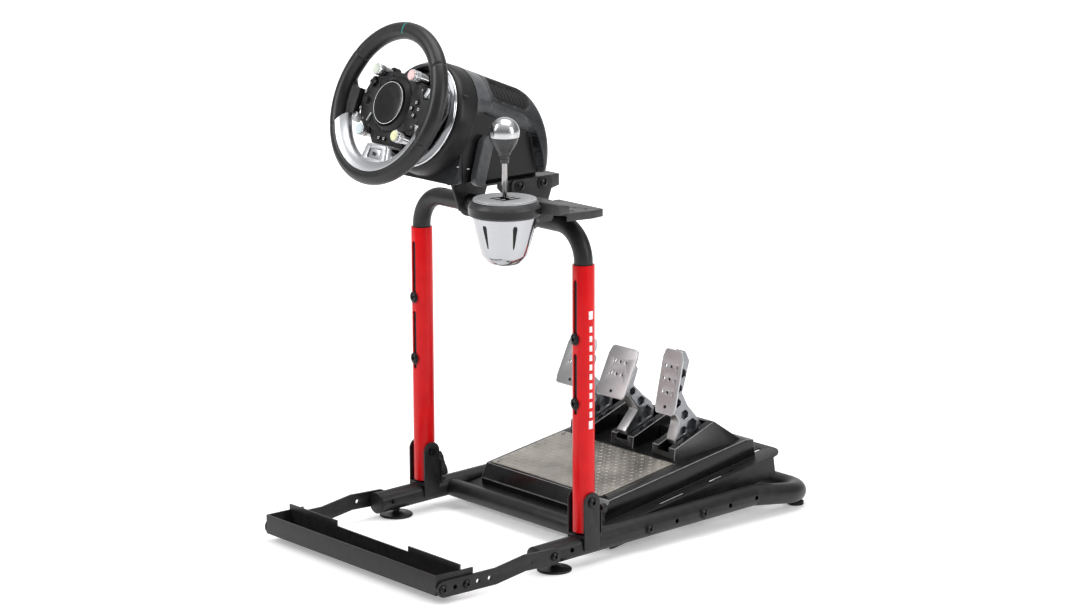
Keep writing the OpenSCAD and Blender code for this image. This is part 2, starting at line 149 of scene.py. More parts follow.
def vary(nt, b, base, amount=0.25, scale=40.0, rough=None, rspan=0.1, vec=None, detail=4.0):
    """colour and roughness vary with a noise"""
    v = vec or coords(nt)
    n = node(nt, "ShaderNodeTexNoise"); n.inputs["Scale"].default_value = scale; n.inputs["Detail"].default_value = detail
    nt.links.new(v, n.inputs["Vector"])
    r = nt.nodes.new("ShaderNodeValToRGB")
    lo = tuple(c * (1 - amount) for c in base); hi = tuple(min(1, c * (1 + amount)) for c in base)
    r.color_ramp.elements[0].color = (*lo, 1); r.color_ramp.elements[1].color = (*hi, 1)
    r.color_ramp.elements[0].position = 0.3; r.color_ramp.elements[1].position = 0.7
    nt.links.new(n.outputs["Fac"], r.inputs["Fac"]); nt.links.new(r.outputs["Color"], b.inputs["Base Color"])
    if rough is not None:
        mr = nt.nodes.new("ShaderNodeMapRange"); mr.inputs["To Min"].default_value = max(0.02, rough - rspan); mr.inputs["To Max"].default_value = rough + rspan
        nt.links.new(n.outputs["Fac"], mr.inputs["Value"]); nt.links.new(mr.outputs["Result"], b.inputs["Roughness"])
    return n

def bump(nt, b, src, dist=0.0002, strength=0.3, prev=None):
    bp = nt.nodes.new("ShaderNodeBump"); bp.inputs["Distance"].default_value = dist; bp.inputs["Strength"].default_value = strength
    nt.links.new(src, bp.inputs["Height"])
    if prev: nt.links.new(prev, bp.inputs["Normal"])
    nt.links.new(bp.outputs["Normal"], b.inputs["Normal"]); return bp.outputs["Normal"]

def grain(nt, b, scale=900.0, dist=0.00012, strength=0.35, vec=None):
    n = node(nt, "ShaderNodeTexNoise"); n.inputs["Scale"].default_value = scale; n.inputs["Detail"].default_value = 3.0
    nt.links.new(vec or coords(nt), n.inputs["Vector"]); return bump(nt, b, n.outputs["Fac"], dist, strength)

M = {}
def powder():
    m, nt, b = mat("powder_coat", (0.012, 0.012, 0.013), 0.4, spec=0.3)
    vary(nt, b, (0.012, 0.012, 0.013), 0.3, 60, 0.4, 0.07); grain(nt, b, 700, 0.00025, 0.5); return m
def red():
    m, nt, b = mat("red_enamel", (0.6, 0.002, 0.005), 0.32, coat=0.12, coat_rough=0.08, spec=0.16)
    vary(nt, b, (0.6, 0.002, 0.005), 0.08, 25, 0.32, 0.06); grain(nt, b, 160, 0.0002, 0.12); return m
def plastic(name, c, rough, g=900, s=0.35, d=0.00012, sp=0.27):
    m, nt, b = mat(name, c, rough, spec=sp)
    vary(nt, b, c, 0.2, 80, rough, 0.06); grain(nt, b, g, d, s); return m
def metal(name, c, rough, stretch=(1, 1, 1), s=0.15, aniso=0.0, scale=500, span=0.08, amt=0.1):
    m, nt, b = mat(name, c, rough, 1.0, aniso=aniso)
    v = coords(nt, stretch); vary(nt, b, c, amt, scale, rough, span, vec=v); grain(nt, b, scale, 0.0001, s, vec=v); return m
M["powder"] = powder(); M["red"] = red()
M["black"] = plastic("black_plastic", (0.009, 0.009, 0.01), 0.4)
M["grey"] = plastic("shell_grey", (0.03, 0.03, 0.032), 0.42, 1200, 0.4)
M["gloss"] = plastic("gloss_black", (0.006, 0.006, 0.0065), 0.24, 300, 0.08, sp=0.34)
M["rubber"] = plastic("rubber", (0.012, 0.012, 0.012), 0.75, 400, 0.5, 0.0003)
M["bolt"] = metal("black_oxide", (0.03, 0.03, 0.032), 0.35)
M["steel"] = metal("steel_plate", (0.42, 0.395, 0.355), 0.36)
M["alu"] = metal("cast_aluminium", (0.55, 0.56, 0.58), 0.4, s=0.4, scale=900)
M["brushed"] = metal("brushed_aluminium", (0.62, 0.63, 0.65), 0.3, (1, 40, 40), 0.3)
M["chrome"] = metal("chrome", (0.6, 0.605, 0.62), 0.07, s=0.03, span=0.03, amt=0.03)
def leather():
    m, nt, b = mat("leather", (0.012, 0.012, 0.013), 0.4, spec=0.34)
    vary(nt, b, (0.012, 0.012, 0.013), 0.25, 60, 0.38, 0.06)
    v = node(nt, "ShaderNodeTexVoronoi"); v.inputs["Scale"].default_value = 700; nt.links.new(coords(nt), v.inputs["Vector"])
    bump(nt, b, v.outputs["Distance"], 0.0002, 0.35); return m
M["leather"] = leather()

SLOT = {"frame_black": "powder", "red_tube": "red", "black_plastic": "black", "shell_grey": "grey", "gloss_black": "gloss", "rubber": "rubber",
        "steel": "steel", "bolt": "bolt", "alu": "alu", "chrome": "chrome", "leather": "leather"}
for sp in frame["record"]["subparts"]:
    o = N[sp["node"]]; o.data.materials.clear(); o.data.materials.append(M[SLOT[sp["material_slot"]]])

# ------------------------------------------------------------ mesh helpers (millimetres in local frames)
S1 = Matrix.Scale(0.001, 4)
GM = Matrix.Translation((0, -YM / 1000, 0)) @ S1
WM = Matrix.Translation((0, (-239.6 - YM) / 1000, 0.7936)) @ Matrix.Rotation(R(90 - 21.3), 4, "X") @ S1
PM = Matrix.Translation((0, (148.8 - YM) / 1000, 0.0479)) @ Matrix.Rotation(R(8.96), 4, "X") @ S1
SM = Matrix.Translation((0.180, (-138.5 - YM) / 1000, 0)) @ S1
def T(x, y, z): return Matrix.Translation((x, y, z))
def RX(a): return Matrix.Rotation(R(a), 4, "X")
def RY(a): return Matrix.Rotation(R(a), 4, "Y")
def RZ(a): return Matrix.Rotation(R(a), 4, "Z")
XP = Matrix(((0, 0, 1, 0), (1, 0, 0, 0), (0, 1, 0, 0), (0, 0, 0, 1)))   # profile (y,z) extruded along x
YP = Matrix(((1, 0, 0, 0), (0, 0, -1, 0), (0, 1, 0, 0), (0, 0, 0, 1)))   # lathe axis along -y

def finish_mesh(name, me, material, body, rep=(), smooth=35, bevel=0, seg=2, weld=False):
    o = bpy.data.objects.new(name, me); bpy.context.collection.objects.link(o)
    if bevel:
        md = o.modifiers.new("bevel", "BEVEL"); md.width = bevel / 1000; md.segments = seg; md.limit_method = "ANGLE"; md.angle_limit = R(30)
        md.harden_normals = False; md.use_clamp_overlap = True
        dg = bpy.context.evaluated_depsgraph_get(); new = bpy.data.meshes.new_from_object(o.evaluated_get(dg))
        o.modifiers.clear(); o.data = new; me = new
    me.polygons.foreach_set("use_smooth", [True] * len(me.polygons))
    try: me.set_sharp_from_angle(angle=R(smooth))
    except Exception: pass
    me.materials.clear(); me.materials.append(M[material] if isinstance(material, str) else material)
    if body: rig.ride(o, body)
    if rep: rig.replaces(o, *([rep] if isinstance(rep, str) else rep))
    return o

def mk(name, verts, faces, mtx, material, body, rep=(), smooth=35, bevel=0, seg=2):
    me = bpy.data.meshes.new(name); me.from_pydata([mtx @ Vector(v) for v in verts], [], faces); me.validate()
    bm = bmesh.new(); bm.from_mesh(me); bmesh.ops.remove_doubles(bm, verts=bm.verts, dist=1e-6)
    bmesh.ops.recalc_face_normals(bm, faces=bm.faces); bm.to_mesh(me); bm.free()
    return finish_mesh(name, me, material, body, rep, smooth, bevel, seg)

def join(name, parts):
    """several made objects of one body become one"""
    bpy.ops.object.select_all(action="DESELECT")
    for p in parts: p.select_set(True)
    bpy.context.view_layer.objects.active = parts[0]; bpy.ops.object.join(); o = bpy.context.view_layer.objects.active; o.name = name
    return o

def lathe_vf(prof, seg=64, closed=False):
    vs, fs = [], []; n = len(prof)
    for i in range(seg):
        a = 2 * math.pi * i / seg; c, s = math.cos(a), math.sin(a)
        vs += [(r * c, r * s, z) for r, z in prof]
    for i in range(seg):
        j = (i + 1) % seg
        for k in range(n if closed else n - 1):
            l = (k + 1) % n
            fs.append((i * n + k, j * n + k, j * n + l, i * n + l))
    if not closed:
        if prof[0][0] > 1e-6: fs.append(tuple(i * n for i in range(seg)))
        if prof[-1][0] > 1e-6: fs.append(tuple(i * n + n - 1 for i in range(seg)))
    return vs, fs
def lathe(name, prof, mtx, material, body, rep=(), seg=64, closed=False, smooth=35, bevel=0, bseg=2):
    v, f = lathe_vf(prof, seg, closed); return mk(name, v, f, mtx, material, body, rep, smooth, bevel, bseg)
def tubew(name, r0, r1, z0, z1, mtx, material, body, rep=(), seg=64, ch=0.5):
    return lathe(name, [(r0, z0 + ch), (r0 + ch, z0), (r1 - ch, z0), (r1, z0 + ch), (r1, z1 - ch), (r1 - ch, z1), (r0 + ch, z1), (r0, z1 - ch)], mtx, material, body, rep, seg, True)
def cyl(name, r, z0, z1, mtx, material, body, rep=(), seg=48, ch=0.5):
    return lathe(name, [(0, z0), (r - ch, z0), (r, z0 + ch), (r, z1 - ch), (r - ch, z1), (0, z1)], mtx, material, body, rep, seg)
def extr(name, pts, z0, z1, mtx, material, body, rep=(), bevel=0.8, seg=2, smooth=35):
    n = len(pts); v = [(x, y, z0) for x, y in pts] + [(x, y, z1) for x, y in pts]
    f = [tuple(range(n))[::-1], tuple(range(n, 2 * n))] + [(i, (i + 1) % n, n + (i + 1) % n, n + i) for i in range(n)]
    return mk(name, v, f, mtx, material, body, rep, smooth, bevel, seg)
def circ(x, y, r, n=20): return [(x + r * math.cos(2 * math.pi * i / n), y + r * math.sin(2 * math.pi * i / n)) for i in range(n)]
def slotp(x, y0, y1, w, n=8):
    r = w / 2
    return [(x + r * math.cos(a), y1 - r + r * math.sin(a)) for a in [math.pi * i / n for i in range(n + 1)]] + [(x - r * math.cos(a), y0 + r - r * math.sin(a)) for a in [math.pi * i / n for i in range(n + 1)]]
def rrect(x0, y0, x1, y1, r, n=6):
    out = []
    for cx, cy, a0 in ((x1 - r, y1 - r, 0), (x0 + r, y1 - r, 90), (x0 + r, y0 + r, 180), (x1 - r, y0 + r, 270)):
        out += [(cx + r * math.cos(R(a0 + 90 * i / n)), cy + r * math.sin(R(a0 + 90 * i / n))) for i in range(n + 1)]
    return out
def rpoly(pts, r, n=5):
    """polygon with rounded corners"""
    out = []; m = len(pts)
    for i in range(m):
        p0, p1, p2 = Vector(pts[i - 1]), Vector(pts[i]), Vector(pts[(i + 1) % m])
        a = (p0 - p1); b = (p2 - p1); rr = min(r, a.length * 0.45, b.length * 0.45); a.normalize(); b.normalize()
        ang = math.acos(max(-1, min(1, a.dot(b))))
        if ang > R(172): out.append(tuple(p1)); continue
        t = rr / math.tan(ang / 2) if ang > 0.01 else rr
        t = min(t, (Vector(pts[i - 1]) - p1).length * 0.48, (Vector(pts[(i + 1) % m]) - p1).length * 0.48)
        s, e = p1 + a * t, p1 + b * t
        for k in range(n + 1):
            q = k / n; out.append(tuple(s.lerp(p1, q).lerp(p1.lerp(e, q), q)))
    return out
def plate(name, outer, holes, z0, z1, mtx, material, body, rep=(), bevel=0.4, res=2, smooth=35):
    cu = bpy.data.curves.new(name, "CURVE"); cu.dimensions = "2D"; cu.fill_mode = "BOTH"
    cu.extrude = (z1 - z0) / 2 - bevel; cu.bevel_depth = bevel; cu.bevel_resolution = res; cu.offset = -bevel
    for loop in [outer] + list(holes):
        sp = cu.splines.new("POLY"); sp.points.add(len(loop) - 1); sp.use_cyclic_u = True
        for i, (x, y) in enumerate(loop): sp.points[i].co = (x, y, 0, 1)
    o = bpy.data.objects.new(name, cu); bpy.context.collection.objects.link(o)
    dg = bpy.context.evaluated_depsgraph_get(); me = bpy.data.meshes.new_from_object(o.evaluated_get(dg)); bpy.data.objects.remove(o)
    me.transform(mtx @ T(0, 0, (z0 + z1) / 2))
    bm = bmesh.new(); bm.from_mesh(me); bmesh.ops.remove_doubles(bm, verts=bm.verts, dist=1e-6); bmesh.ops.recalc_face_normals(bm, faces=bm.faces); bm.to_mesh(me); bm.free()
    return finish_mesh(name, me, material, body, rep, smooth)
def sweep(name, path, rad, mtx, material, body, rep=(), seg=28, closed=False, cap=True, smooth=50, sect=None):
    """round tube along a path; rad is a number or a function of the index"""
    P = [Vector(p) for p in path]; n = len(P); vs, fs = [], []; up = None
    for i in range(n):
        t = (P[(i + 1) % n] - P[i - 1]) if closed or 0 < i < n - 1 else (P[1] - P[0] if i == 0 else P[-1] - P[-2]); t.normalize()
        if up is None: up = Vector((0, 0, 1)) if abs(t.z) < 0.9 else Vector((0, 1, 0))
        a = (up - t * up.dot(t)).normalized(); b = t.cross(a); up = a
        r = rad(i) if callable(rad) else rad
        for k in range(seg):
            q = 2 * math.pi * k / seg; vs.append(P[i] + a * r * math.cos(q) + b * r * math.sin(q))
    m = n if closed else n - 1
    for i in range(m):
        for k in range(seg): fs.append((i * seg + k, ((i + 1) % n) * seg + k, ((i + 1) % n) * seg + (k + 1) % seg, i * seg + (k + 1) % seg))
    if cap and not closed: fs += [tuple(range(seg)), tuple(range((n - 1) * seg, n * seg))]
    return mk(name, vs, fs, mtx, material, body, rep, smooth)
def bolt(name, mtx, r, h, material="bolt", body=None, washer=0, hexr=None, seg=32):
    """button head with a hex socket, head growing along local +z from 0"""
    ps = []
    hr = hexr or r * 0.42
    prof = [(r, 0), (r, h * 0.35)] + [(r * math.cos(a), h * 0.35 + h * 0.65 * math.sin(a)) for a in [R(x) for x in (20, 40, 58)]]
    v, f = [], []; n = len(prof)
    for i in range(seg):
        a = 2 * math.pi * i / seg; v += [(p * math.cos(a), p * math.sin(a), z) for p, z in prof]
    for i in range(seg):
        j = (i + 1) % seg; f += [(i * n + k, j * n + k, j * n + k + 1, i * n + k + 1) for k in range(n - 1)]
    top = [i * n + n - 1 for i in range(seg)]; b0 = len(v); ztop = h
    def hexpt(a): 
        k = (a % (math.pi / 3)) - math.pi / 6; return hr * math.cos(math.pi / 6) / math.cos(k)
    for i in range(seg): a = 2 * math.pi * i / seg; v.append((hexpt(a) * math.cos(a), hexpt(a) * math.sin(a), ztop))
    for i in range(seg): a = 2 * math.pi * i / seg; v.append((hexpt(a) * math.cos(a), hexpt(a) * math.sin(a), h * 0.35))
    for i in range(seg):
        j = (i + 1) % seg; f.append((top[i], top[j], b0 + j, b0 + i)); f.append((b0 + i, b0 + j, b0 + seg + j, b0 + seg + i))
    f.append(tuple(b0 + seg + i for i in range(seg))); f.append(tuple(i * n for i in range(seg)))
    o = mk(name, v, f, mtx, material, body, (), 30)
    if washer:
        w = tubew(name + "_w", r * 0.5, washer, -0.2, 0.9, mtx, material, body, (), 40, 0.3); o = join(name, [o, w])
    return o
def along(p, dirv):
    """frame at p with local z along dirv, all mm in the measured world"""
    q = Vector(dirv).to_track_quat("Z", "Y"); return GM @ T(*p) @ q.to_matrix().to_4x4()
def fine(nd, width=0.6, seg=2, ang=28, dis=1.0, material=None, edge=None):
    """a softened copy of a CAD node stands for it"""
    src = N[nd]; me = src.data.copy(); bm = bmesh.new(); bm.from_mesh(me)
    bmesh.ops.remove_doubles(bm, verts=bm.verts, dist=1e-6)
    bmesh.ops.dissolve_limit(bm, angle_limit=R(dis), verts=bm.verts, edges=bm.edges)
    if edge:
        # only the long outer edges are rounded, so nothing grows into the slots
        ly = bm.edges.layers.float.get("bevel_weight_edge") or bm.edges.layers.float.new("bevel_weight_edge")
        for e in bm.edges:
            ok = len(e.link_faces) == 2 and e.is_convex and e.calc_length() > 0.012 and e.calc_face_angle() > R(20)
            e[ly] = 1.0 if ok else 0.0
    bm.to_mesh(me); bm.free(); o = bpy.data.objects.new(nd + "_soft", me); bpy.context.collection.objects.link(o)
    md = o.modifiers.new("b", "BEVEL"); md.width = width / 1000; md.segments = seg; md.limit_method = "ANGLE"; md.angle_limit = R(ang)
    if edge:
        # the bevel faces get the lighter edge material, a painted highlight along the pedal base's edges
        if not me.materials: me.materials.append(M["gloss"])
        me.materials.append(M[edge]); md.material = len(me.materials) - 1; md.use_clamp_overlap = False; md.limit_method = "WEIGHT"
    dg = bpy.context.evaluated_depsgraph_get(); new = bpy.data.meshes.new_from_object(o.evaluated_get(dg)); o.modifiers.clear(); o.data = new
    new.polygons.foreach_set("use_smooth", [True] * len(new.polygons))
    try: new.set_sharp_from_angle(angle=R(30))
    except Exception: pass
    if material: new.materials.clear(); new.materials.append(M[material])
    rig.ride(o, BODY[nd]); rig.replaces(o, nd); return o
BODY = {n: b for b, ns in frame["record"]["behaviour"]["bodies"].items() for n in ns}

# ------------------------------------------------------------ steering wheel
M["knurl"] = metal("knurled_chrome", (0.75, 0.76, 0.78), 0.12, s=0.1, span=0.05)
M["dial_green"] = plastic("dial_green", (0.55, 0.6, 0.53), 0.3)
M["dial_pink"] = plastic("dial_pink", (0.72, 0.5, 0.5), 0.3)
M["dial_blue"] = plastic("dial_blue", (0.5, 0.58, 0.6), 0.3)
M["dial_yellow"] = plastic("dial_yellow", (0.66, 0.66, 0.42), 0.3)
M["white"] = plastic("white_print", (0.8, 0.8, 0.8), 0.5)
M["teal"] = plastic("teal_thread", (0.02, 0.22, 0.19), 0.6)
M["darkmetal"] = metal("dark_metal", (0.08, 0.08, 0.085), 0.35)
M["silver"] = metal("satin_silver", (0.52, 0.53, 0.545), 0.38, (30, 3, 3), 0.25, scale=200)
M["cap"] = plastic("cap_black", (0.012, 0.012, 0.013), 0.25, 500, 0.05)
RR, RS = 125.5, 14.5
def rim():
    vs, fs = [], []; seams = [35.5, 144.5, 205, 335]
    ths = sorted(set([round(x * 2.0, 3) for x in range(180)] + [round(s + d, 3) for s in seams for d in (-0.9, -0.45, 0, 0.45, 0.9)]))
    ns = 36
    for th in ths:
        g = min(abs(((th - s + 180) % 360) - 180) for s in seams); groove = 0.9 * max(0, 1 - g / 0.9)
        for k in range(ns):
            ph = 2 * math.pi * k / ns
            # thumb rests swell a little next to the side spokes
            sw = 1.0 * math.exp(-((th - 28) / 9) ** 2) + 1.0 * math.exp(-((th - 152) / 9) ** 2)
            rr = RS + sw * max(0, -math.cos(ph)) - groove
            rad = RR + rr * math.cos(ph); f = rr * math.sin(ph)
            low = 205 < th < 335
            if low:  # the silver trim's seat
                if rad < 119 and f > -13: rad = 119.0 if f > 6 else max(rad, 117.0); 
            vs.append((rad * math.cos(R(th)), rad * math.sin(R(th)), f))
    n = len(ths)
    for i in range(n):
        for k in range(ns): fs.append((i * ns + k, ((i + 1) % n) * ns + k, ((i + 1) % n) * ns + (k + 1) % ns, i * ns + (k + 1) % ns))
    o = mk("rim_leather", vs, fs, WM, "leather", "steering", "rim_grip", 40)
    # stitched seam on the inner back of the grip
    vs, fs = [], []
    for i in range(150):
        th = R(2.4 * i)
        if 205 < 2.4 * i < 335: continue
        b = len(vs)
        for dth, df in ((-0.011, -8.4), (-0.011, -7.6), (0.011, -8.9), (0.011, -9.7)):
            for dr in (0, -0.5):
                rad = RR - math.sqrt(RS ** 2 - df ** 2) + dr; vs.append((rad * math.cos(th + dth), rad * math.sin(th + dth), df))
        fs += [(b, b + 2, b + 4, b + 6), (b + 1, b + 3, b + 5, b + 7), (b, b + 2, b + 3, b + 1), (b + 4, b + 6, b + 7, b + 5), (b, b + 6, b + 7, b + 1), (b + 2, b + 4, b + 5, b + 3)]
    st = mk("rim_stitches", vs, fs, WM, plastic("thread_black", (0.03, 0.03, 0.032), 0.6), "steering")
    # 12 o'clock mark
    pts = []
    vs, fs = [], []; m = 16
    for k in range(m + 1):
        ph = R(-25 + 150 * k / m)
        for x in (-1.1, 1.1):
            for dr in (0.0, 0.25):
                rad = RR + (RS + dr) * math.cos(ph); vs.append((x, rad, (RS + dr) * math.sin(ph)))
    for k in range(m):
        a, b = 4 * k, 4 * k + 4
        fs += [(a, a + 2, b + 2, b), (a + 1, a + 3, b + 3, b + 1), (a, a + 1, b + 1, b), (a + 2, a + 3, b + 3, b + 2)]
    mk("rim_mark", vs, fs, WM, "teal", "steering")
    return o
rim()
def side_spoke(s):
    pts = [(84.6, 17.5), (92, 17), (100, 18), (107, 22), (112, 29), (116, 40), (122, 40), (124, -44), (117, -52), (112.5, -43), (108, -35), (102, -30), (94, -27.5), (84.6, -26.5)]
    pts = [(s * x, y) for x, y in rpoly(pts, 5)]
    o = extr("spoke_%s" % ("r" if s > 0 else "l"), pts, -13, -0.5, WM, "leather", "steering", (), 4.5, 4)
    e = extr("spoke_edge_%s" % ("r" if s > 0 else "l"), [(s * 84.2, 17.6), (s * 86.4, 17.6), (s * 86.4, -26.6), (s * 84.2, -26.6)], -13.2, -0.2, WM, "black", "steering", (), 0.5, 2)
    return o
side_spoke(1); side_spoke(-1)
# silver lower trim, swept section
def trim():
    sec = [(119.0, 13.4), (116.5, 13.0), (112, 11.6), (107.5, 8.8), (103.5, 4.6), (101, 0.5), (100.2, -4), (101, -9), (104, -12.5), (111, -14.2), (118, -13.8), (121, -12), (121, 12)]
    sec = [tuple(p) for p in sec]; vs, fs = [], []; a0, a1 = 203.0, 337.0; n = 68; m = len(sec)
    for i in range(n + 1):
        th = a0 + (a1 - a0) * i / n
        for (r_, f_) in sec:
            # the ends run out in a point along the spoke
            t = min(th - a0, a1 - th); k = max(0.0, 1 - t / 12.0)
            if r_ < 118: 
                r2 = r_ + (118 - r_) * 0.0
                shift = k * 8 * (118 - r_) / 18.0
                thh = th + (shift if th > 270 else -shift) * 0.0 + ((-1 if th < 270 else 1) * k * -7.5 * (118 - r_) / 18.0) * -1
            else: thh = th
            vs.append((r_ * math.cos(R(thh)), r_ * math.sin(R(thh)), f_))
    for i in range(n):
        for k in range(m): fs.append((i * m + k, (i + 1) * m + k, (i + 1) * m + (k + 1) % m, i * m + (k + 1) % m))
    fs += [tuple(range(m)), tuple(n * m + k for k in range(m))]
    a = mk("trim_arc", vs, fs, WM, "silver", "steering", (), 40)
    blk = plate("trim_block", rpoly([(-24, -71), (26, -71), (32.5, -104), (-32.5, -104)], 3), [rpoly([(-14, -78), (15, -78), (17, -95), (-16, -95)], 3)], -3.5, 0.6, WM, "silver", "steering", (), 0.9, 3)
    bk = extr("trim_back", rpoly([(-24, -70), (26, -70), (32.5, -104.5), (-32.5, -104.5)], 3), -14, -3.4, WM, "silver", "steering", (), 0.8, 2)
    inl = extr("trim_inlay", rpoly([(-13, -79), (14, -79), (16, -94), (-15, -94)], 2.5), -3.6, -1.6, WM, "silver", "steering", (), 0.5, 2)
    bar = extr("trim_badge", rpoly([(-5.5, -84), (6.5, -84), (5, -90), (-4, -90)], 1.2), -1.7, -1.1, WM, "darkmetal", "steering", (), 0.2, 2)
    join("lower_trim", [a, blk, bk, inl, bar]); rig.replaces(bpy.data.objects["lower_trim"], "spoke_frame")
trim()
def hub():
    parts = []
    rear = [(-32, 56), (32, 56), (60, 44), (71, 37), (84, 8), (84, -10), (72, -38), (58, -46), (26, -69.5), (-26, -69.5), (-58, -46), (-72, -38), (-84, -10), (-84, 8), (-71, 37), (-60, 44)]
    ENC = [(-47.5, 53), (47.5, 53), (-47.5, -51.5), (47.5, -51.5)]
    parts.append(extr("hub_rear", rpoly(rear, 4), -40, -31.5, WM, "black", "steering", (), 1.2, 3))
    for i, (x, y) in enumerate(ENC): parts.append(tubew("enc_boss%d" % i, 8.4, 12.2, -40, -29, WM @ T(x, y, 0), "black", "steering", (), 40, 0.8))
    # middle body, notched round the knobs
    mid = []
    def arc(cx, cy, r, a0, a1, n=8): return [(cx + r * math.cos(R(a0 + (a1 - a0) * i / n)), cy + r * math.sin(R(a0 + (a1 - a0) * i / n))) for i in range(n + 1)]
    q = [(0, 55.5), (30, 55.5)] + arc(47.5, 53, 11, 178, 318) + [(62, 40), (70, 36), (83, 8), (83, -10), (71, -36), (62, -41)] + arc(47.5, -51.5, 11, 40, 200)[0:] + [(26, -68.5), (0, -68.5)]
    mid = q + [(-x, y) for x, y in q[::-1] if x > 0]
    parts.append(extr("hub_mid", mid, -32, -9.5, WM, "black", "steering", (), 0.9, 3))
    # raised side panels with the switches
    for s in (1, -1):
        pn = [(s * x, y) for x, y in rpoly([(47, 39), (60, 41.5), (69, 34), (81, 8), (81, -10), (69.5, -34), (60, -38), (47, -36), (43.5, -18), (43.5, 20)], 3)]
        holes = []
        if s > 0: holes = [circ(x, y, 4.5) for x, y in ((64.5, 11), (74, 0), (64.5, -11), (54.5, 0))]
        else: holes = [circ(-61, 33, 9.6, 32)]
        if s < 0: pn = pn[::-1]
        parts.append(plate("hub_panel%d" % s, pn, holes, -10, -7.9, WM, "black", "steering", (), 0.5, 2))
    # boss and rings round the cap
    parts.append(lathe("hub_boss", [(0, -10), (49, -10), (48.5, -8.2), (46, -6), (42.5, -2.4), (41, -1.6), (39.8, -1.8), (38.4, -3.2), (38, -5), (0, -5)], WM @ T(0, 1, 0), "black", "steering", (), 96))
    o = join("hub_body", parts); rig.replaces(o, "hub_housing")
    cap = lathe("cap_disc", [(0, -4.6), (36.4, -4.6), (37.2, -3.5), (37.2, -0.6), (36.6, 0.4), (34.8, 0.9), (30, 1.5), (15, 1.95), (0, 2.05)], WM @ T(0, 1, 0), "cap", "steering", "centre_cap", 96)
    tubew("cap_ring", 35.5, 36.3, -0.5, 0.95, WM @ T(0, 1, 0), "white", "steering", (), 96, 0.25)
    # fixed small switches: ring-topped round keys
    def key(nm, x, y, r=3.7, ring=True, z0=-9, z1=-6.2):
        a = cyl(nm, r, z0, z1, WM @ T(x, y, 0), "black", "steering", (), 32, 0.5)
        if ring: b = tubew(nm + "_r", r * 0.5, r * 0.72, z1 - 0.3, z1 + 0.12, WM @ T(x, y, 0), "white", "steering", (), 32, 0.1); a = join(nm, [a, b])
        return a
    for i, (x, y) in enumerate(((80, 14.5), (79, -17.5), (-74.5, 14), (-77, -14.5), (6, -58.5), (-8, -58.5))): key("key_fixed%d" % i, x, y, 3.2)
    # small screws of the face
    for i, (x, y) in enumerate(((-70, 30), (68, 33), (66, -30), (-66, -31), (20, 50), (-20, 50))): cyl("hub_screw%d" % i, 1.7, -9, -7.2, WM @ T(x, y, 0), "chrome" if i < 4 else "darkmetal", "steering", (), 20, 0.3)
    # thumb stick on the left
    lathe("thumb_stick", [(0, -9), (7.2, -9), (7.2, -8), (4.2, -7), (3.6, -4), (6.2, -3), (6.6, -2.2), (5.8, -1.4), (3, -2.2), (0, -2.4)], WM @ T(-65, 0.5, 0), "rubber", "steering", (), 40)
    tubew("stick_ring", 8.2, 9.6, -9, -7.0, WM @ T(-65, 0.5, 0), "darkmetal", "steering", (), 48, 0.4)
    # silver rocker switches, ribbed
    for i, (x, y, a) in enumerate(((86.5, 29, 66), (84.5, -31, 114), (-50, -27, 66), (-84, -31, 66))):
        ps = [extr("rock%d" % i, rrect(-8, -4.2, 8, 4.2, 1.5), -18 if i != 2 else -10, -4.5 if i != 2 else -6.6, WM @ T(x, y, 0) @ RZ(a) @ (Matrix.Scale(0.35, 4, (0, 1, 0)) if i == 2 else Matrix()), "silver", "steering", (), 0.6, 2)]
        if i != 2:
            for k in range(5): ps.append(extr("rb%d%d" % (i, k), [(-6 + 3 * k - 0.6, -4), (-6 + 3 * k + 0.6, -4), (-6 + 3 * k + 0.6, 4), (-6 + 3 * k - 0.6, 4)], -4.8, -3.9, WM @ T(x, y, 0) @ RZ(a), "silver", "steering", (), 0.25, 1))
        join("rocker%d" % i, ps)
hub()
def knob(nd, x, y, face):
    n = 22; pts = []
    for i in range(n):
        a0 = 2 * math.pi * i / n
        for fr, rr in ((0.0, 9.9), (0.38, 9.9), (0.5, 9.2), (0.88, 9.2)):
            a = a0 + 2 * math.pi / n * fr; pts.append((rr * math.cos(a), rr * math.sin(a)))
    b = WM @ T(x, y, 0)
    k = extr(nd + "_grip", pts, -7.5, 6.4, b, "knurl", "knob_" + nd[-2:], (), 0.25, 2)
    nk = lathe(nd + "_neck", [(0, -30.4), (7.4, -30.4), (7.4, -20), (8.4, -19), (8.4, -11.4), (9.2, -10.6), (9.2, -7.2), (0, -7.2)], b, "chrome", "knob_" + nd[-2:], (), 48)
    st = cyl(nd + "_stem", 3, -37, -30, b, "steel", "knob_" + nd[-2:], (), 24)
    o = join(nd + "_metal", [k, nk, st]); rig.replaces(o, nd)
    lathe(nd + "_face", [(0, 5.8), (9.0, 5.8), (9.0, 7.0), (8.4, 7.9), (0, 8.0)], b, face, "knob_" + nd[-2:], (), 48)
knob("encoder_ul", -47.5, 53, "dial_green"); knob("encoder_ur", 47.5, 53, "dial_pink")
knob("encoder_ll", -47.5, -51.5, "dial_blue"); knob("encoder_lr", 47.5, -51.5, "dial_yellow")
for nd, x, y in (("button_top", 64.5, 11), ("button_right", 74, 0), ("button_bottom", 64.5, -11), ("button_left", 54.5, 0)):
    b = WM @ T(x, y, 0); bd = BODY[nd]
    a = lathe(nd + "_cap", [(0, -18.5), (4, -18.5), (4, -6.2), (3.6, -5.7), (2.5, -5.55), (0, -5.5)], b, "black", bd, (), 32)
    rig.replaces(a, nd); tubew(nd + "_ring", 1.7, 2.4, -5.8, -5.4, b, "white", bd, (), 32, 0.1)
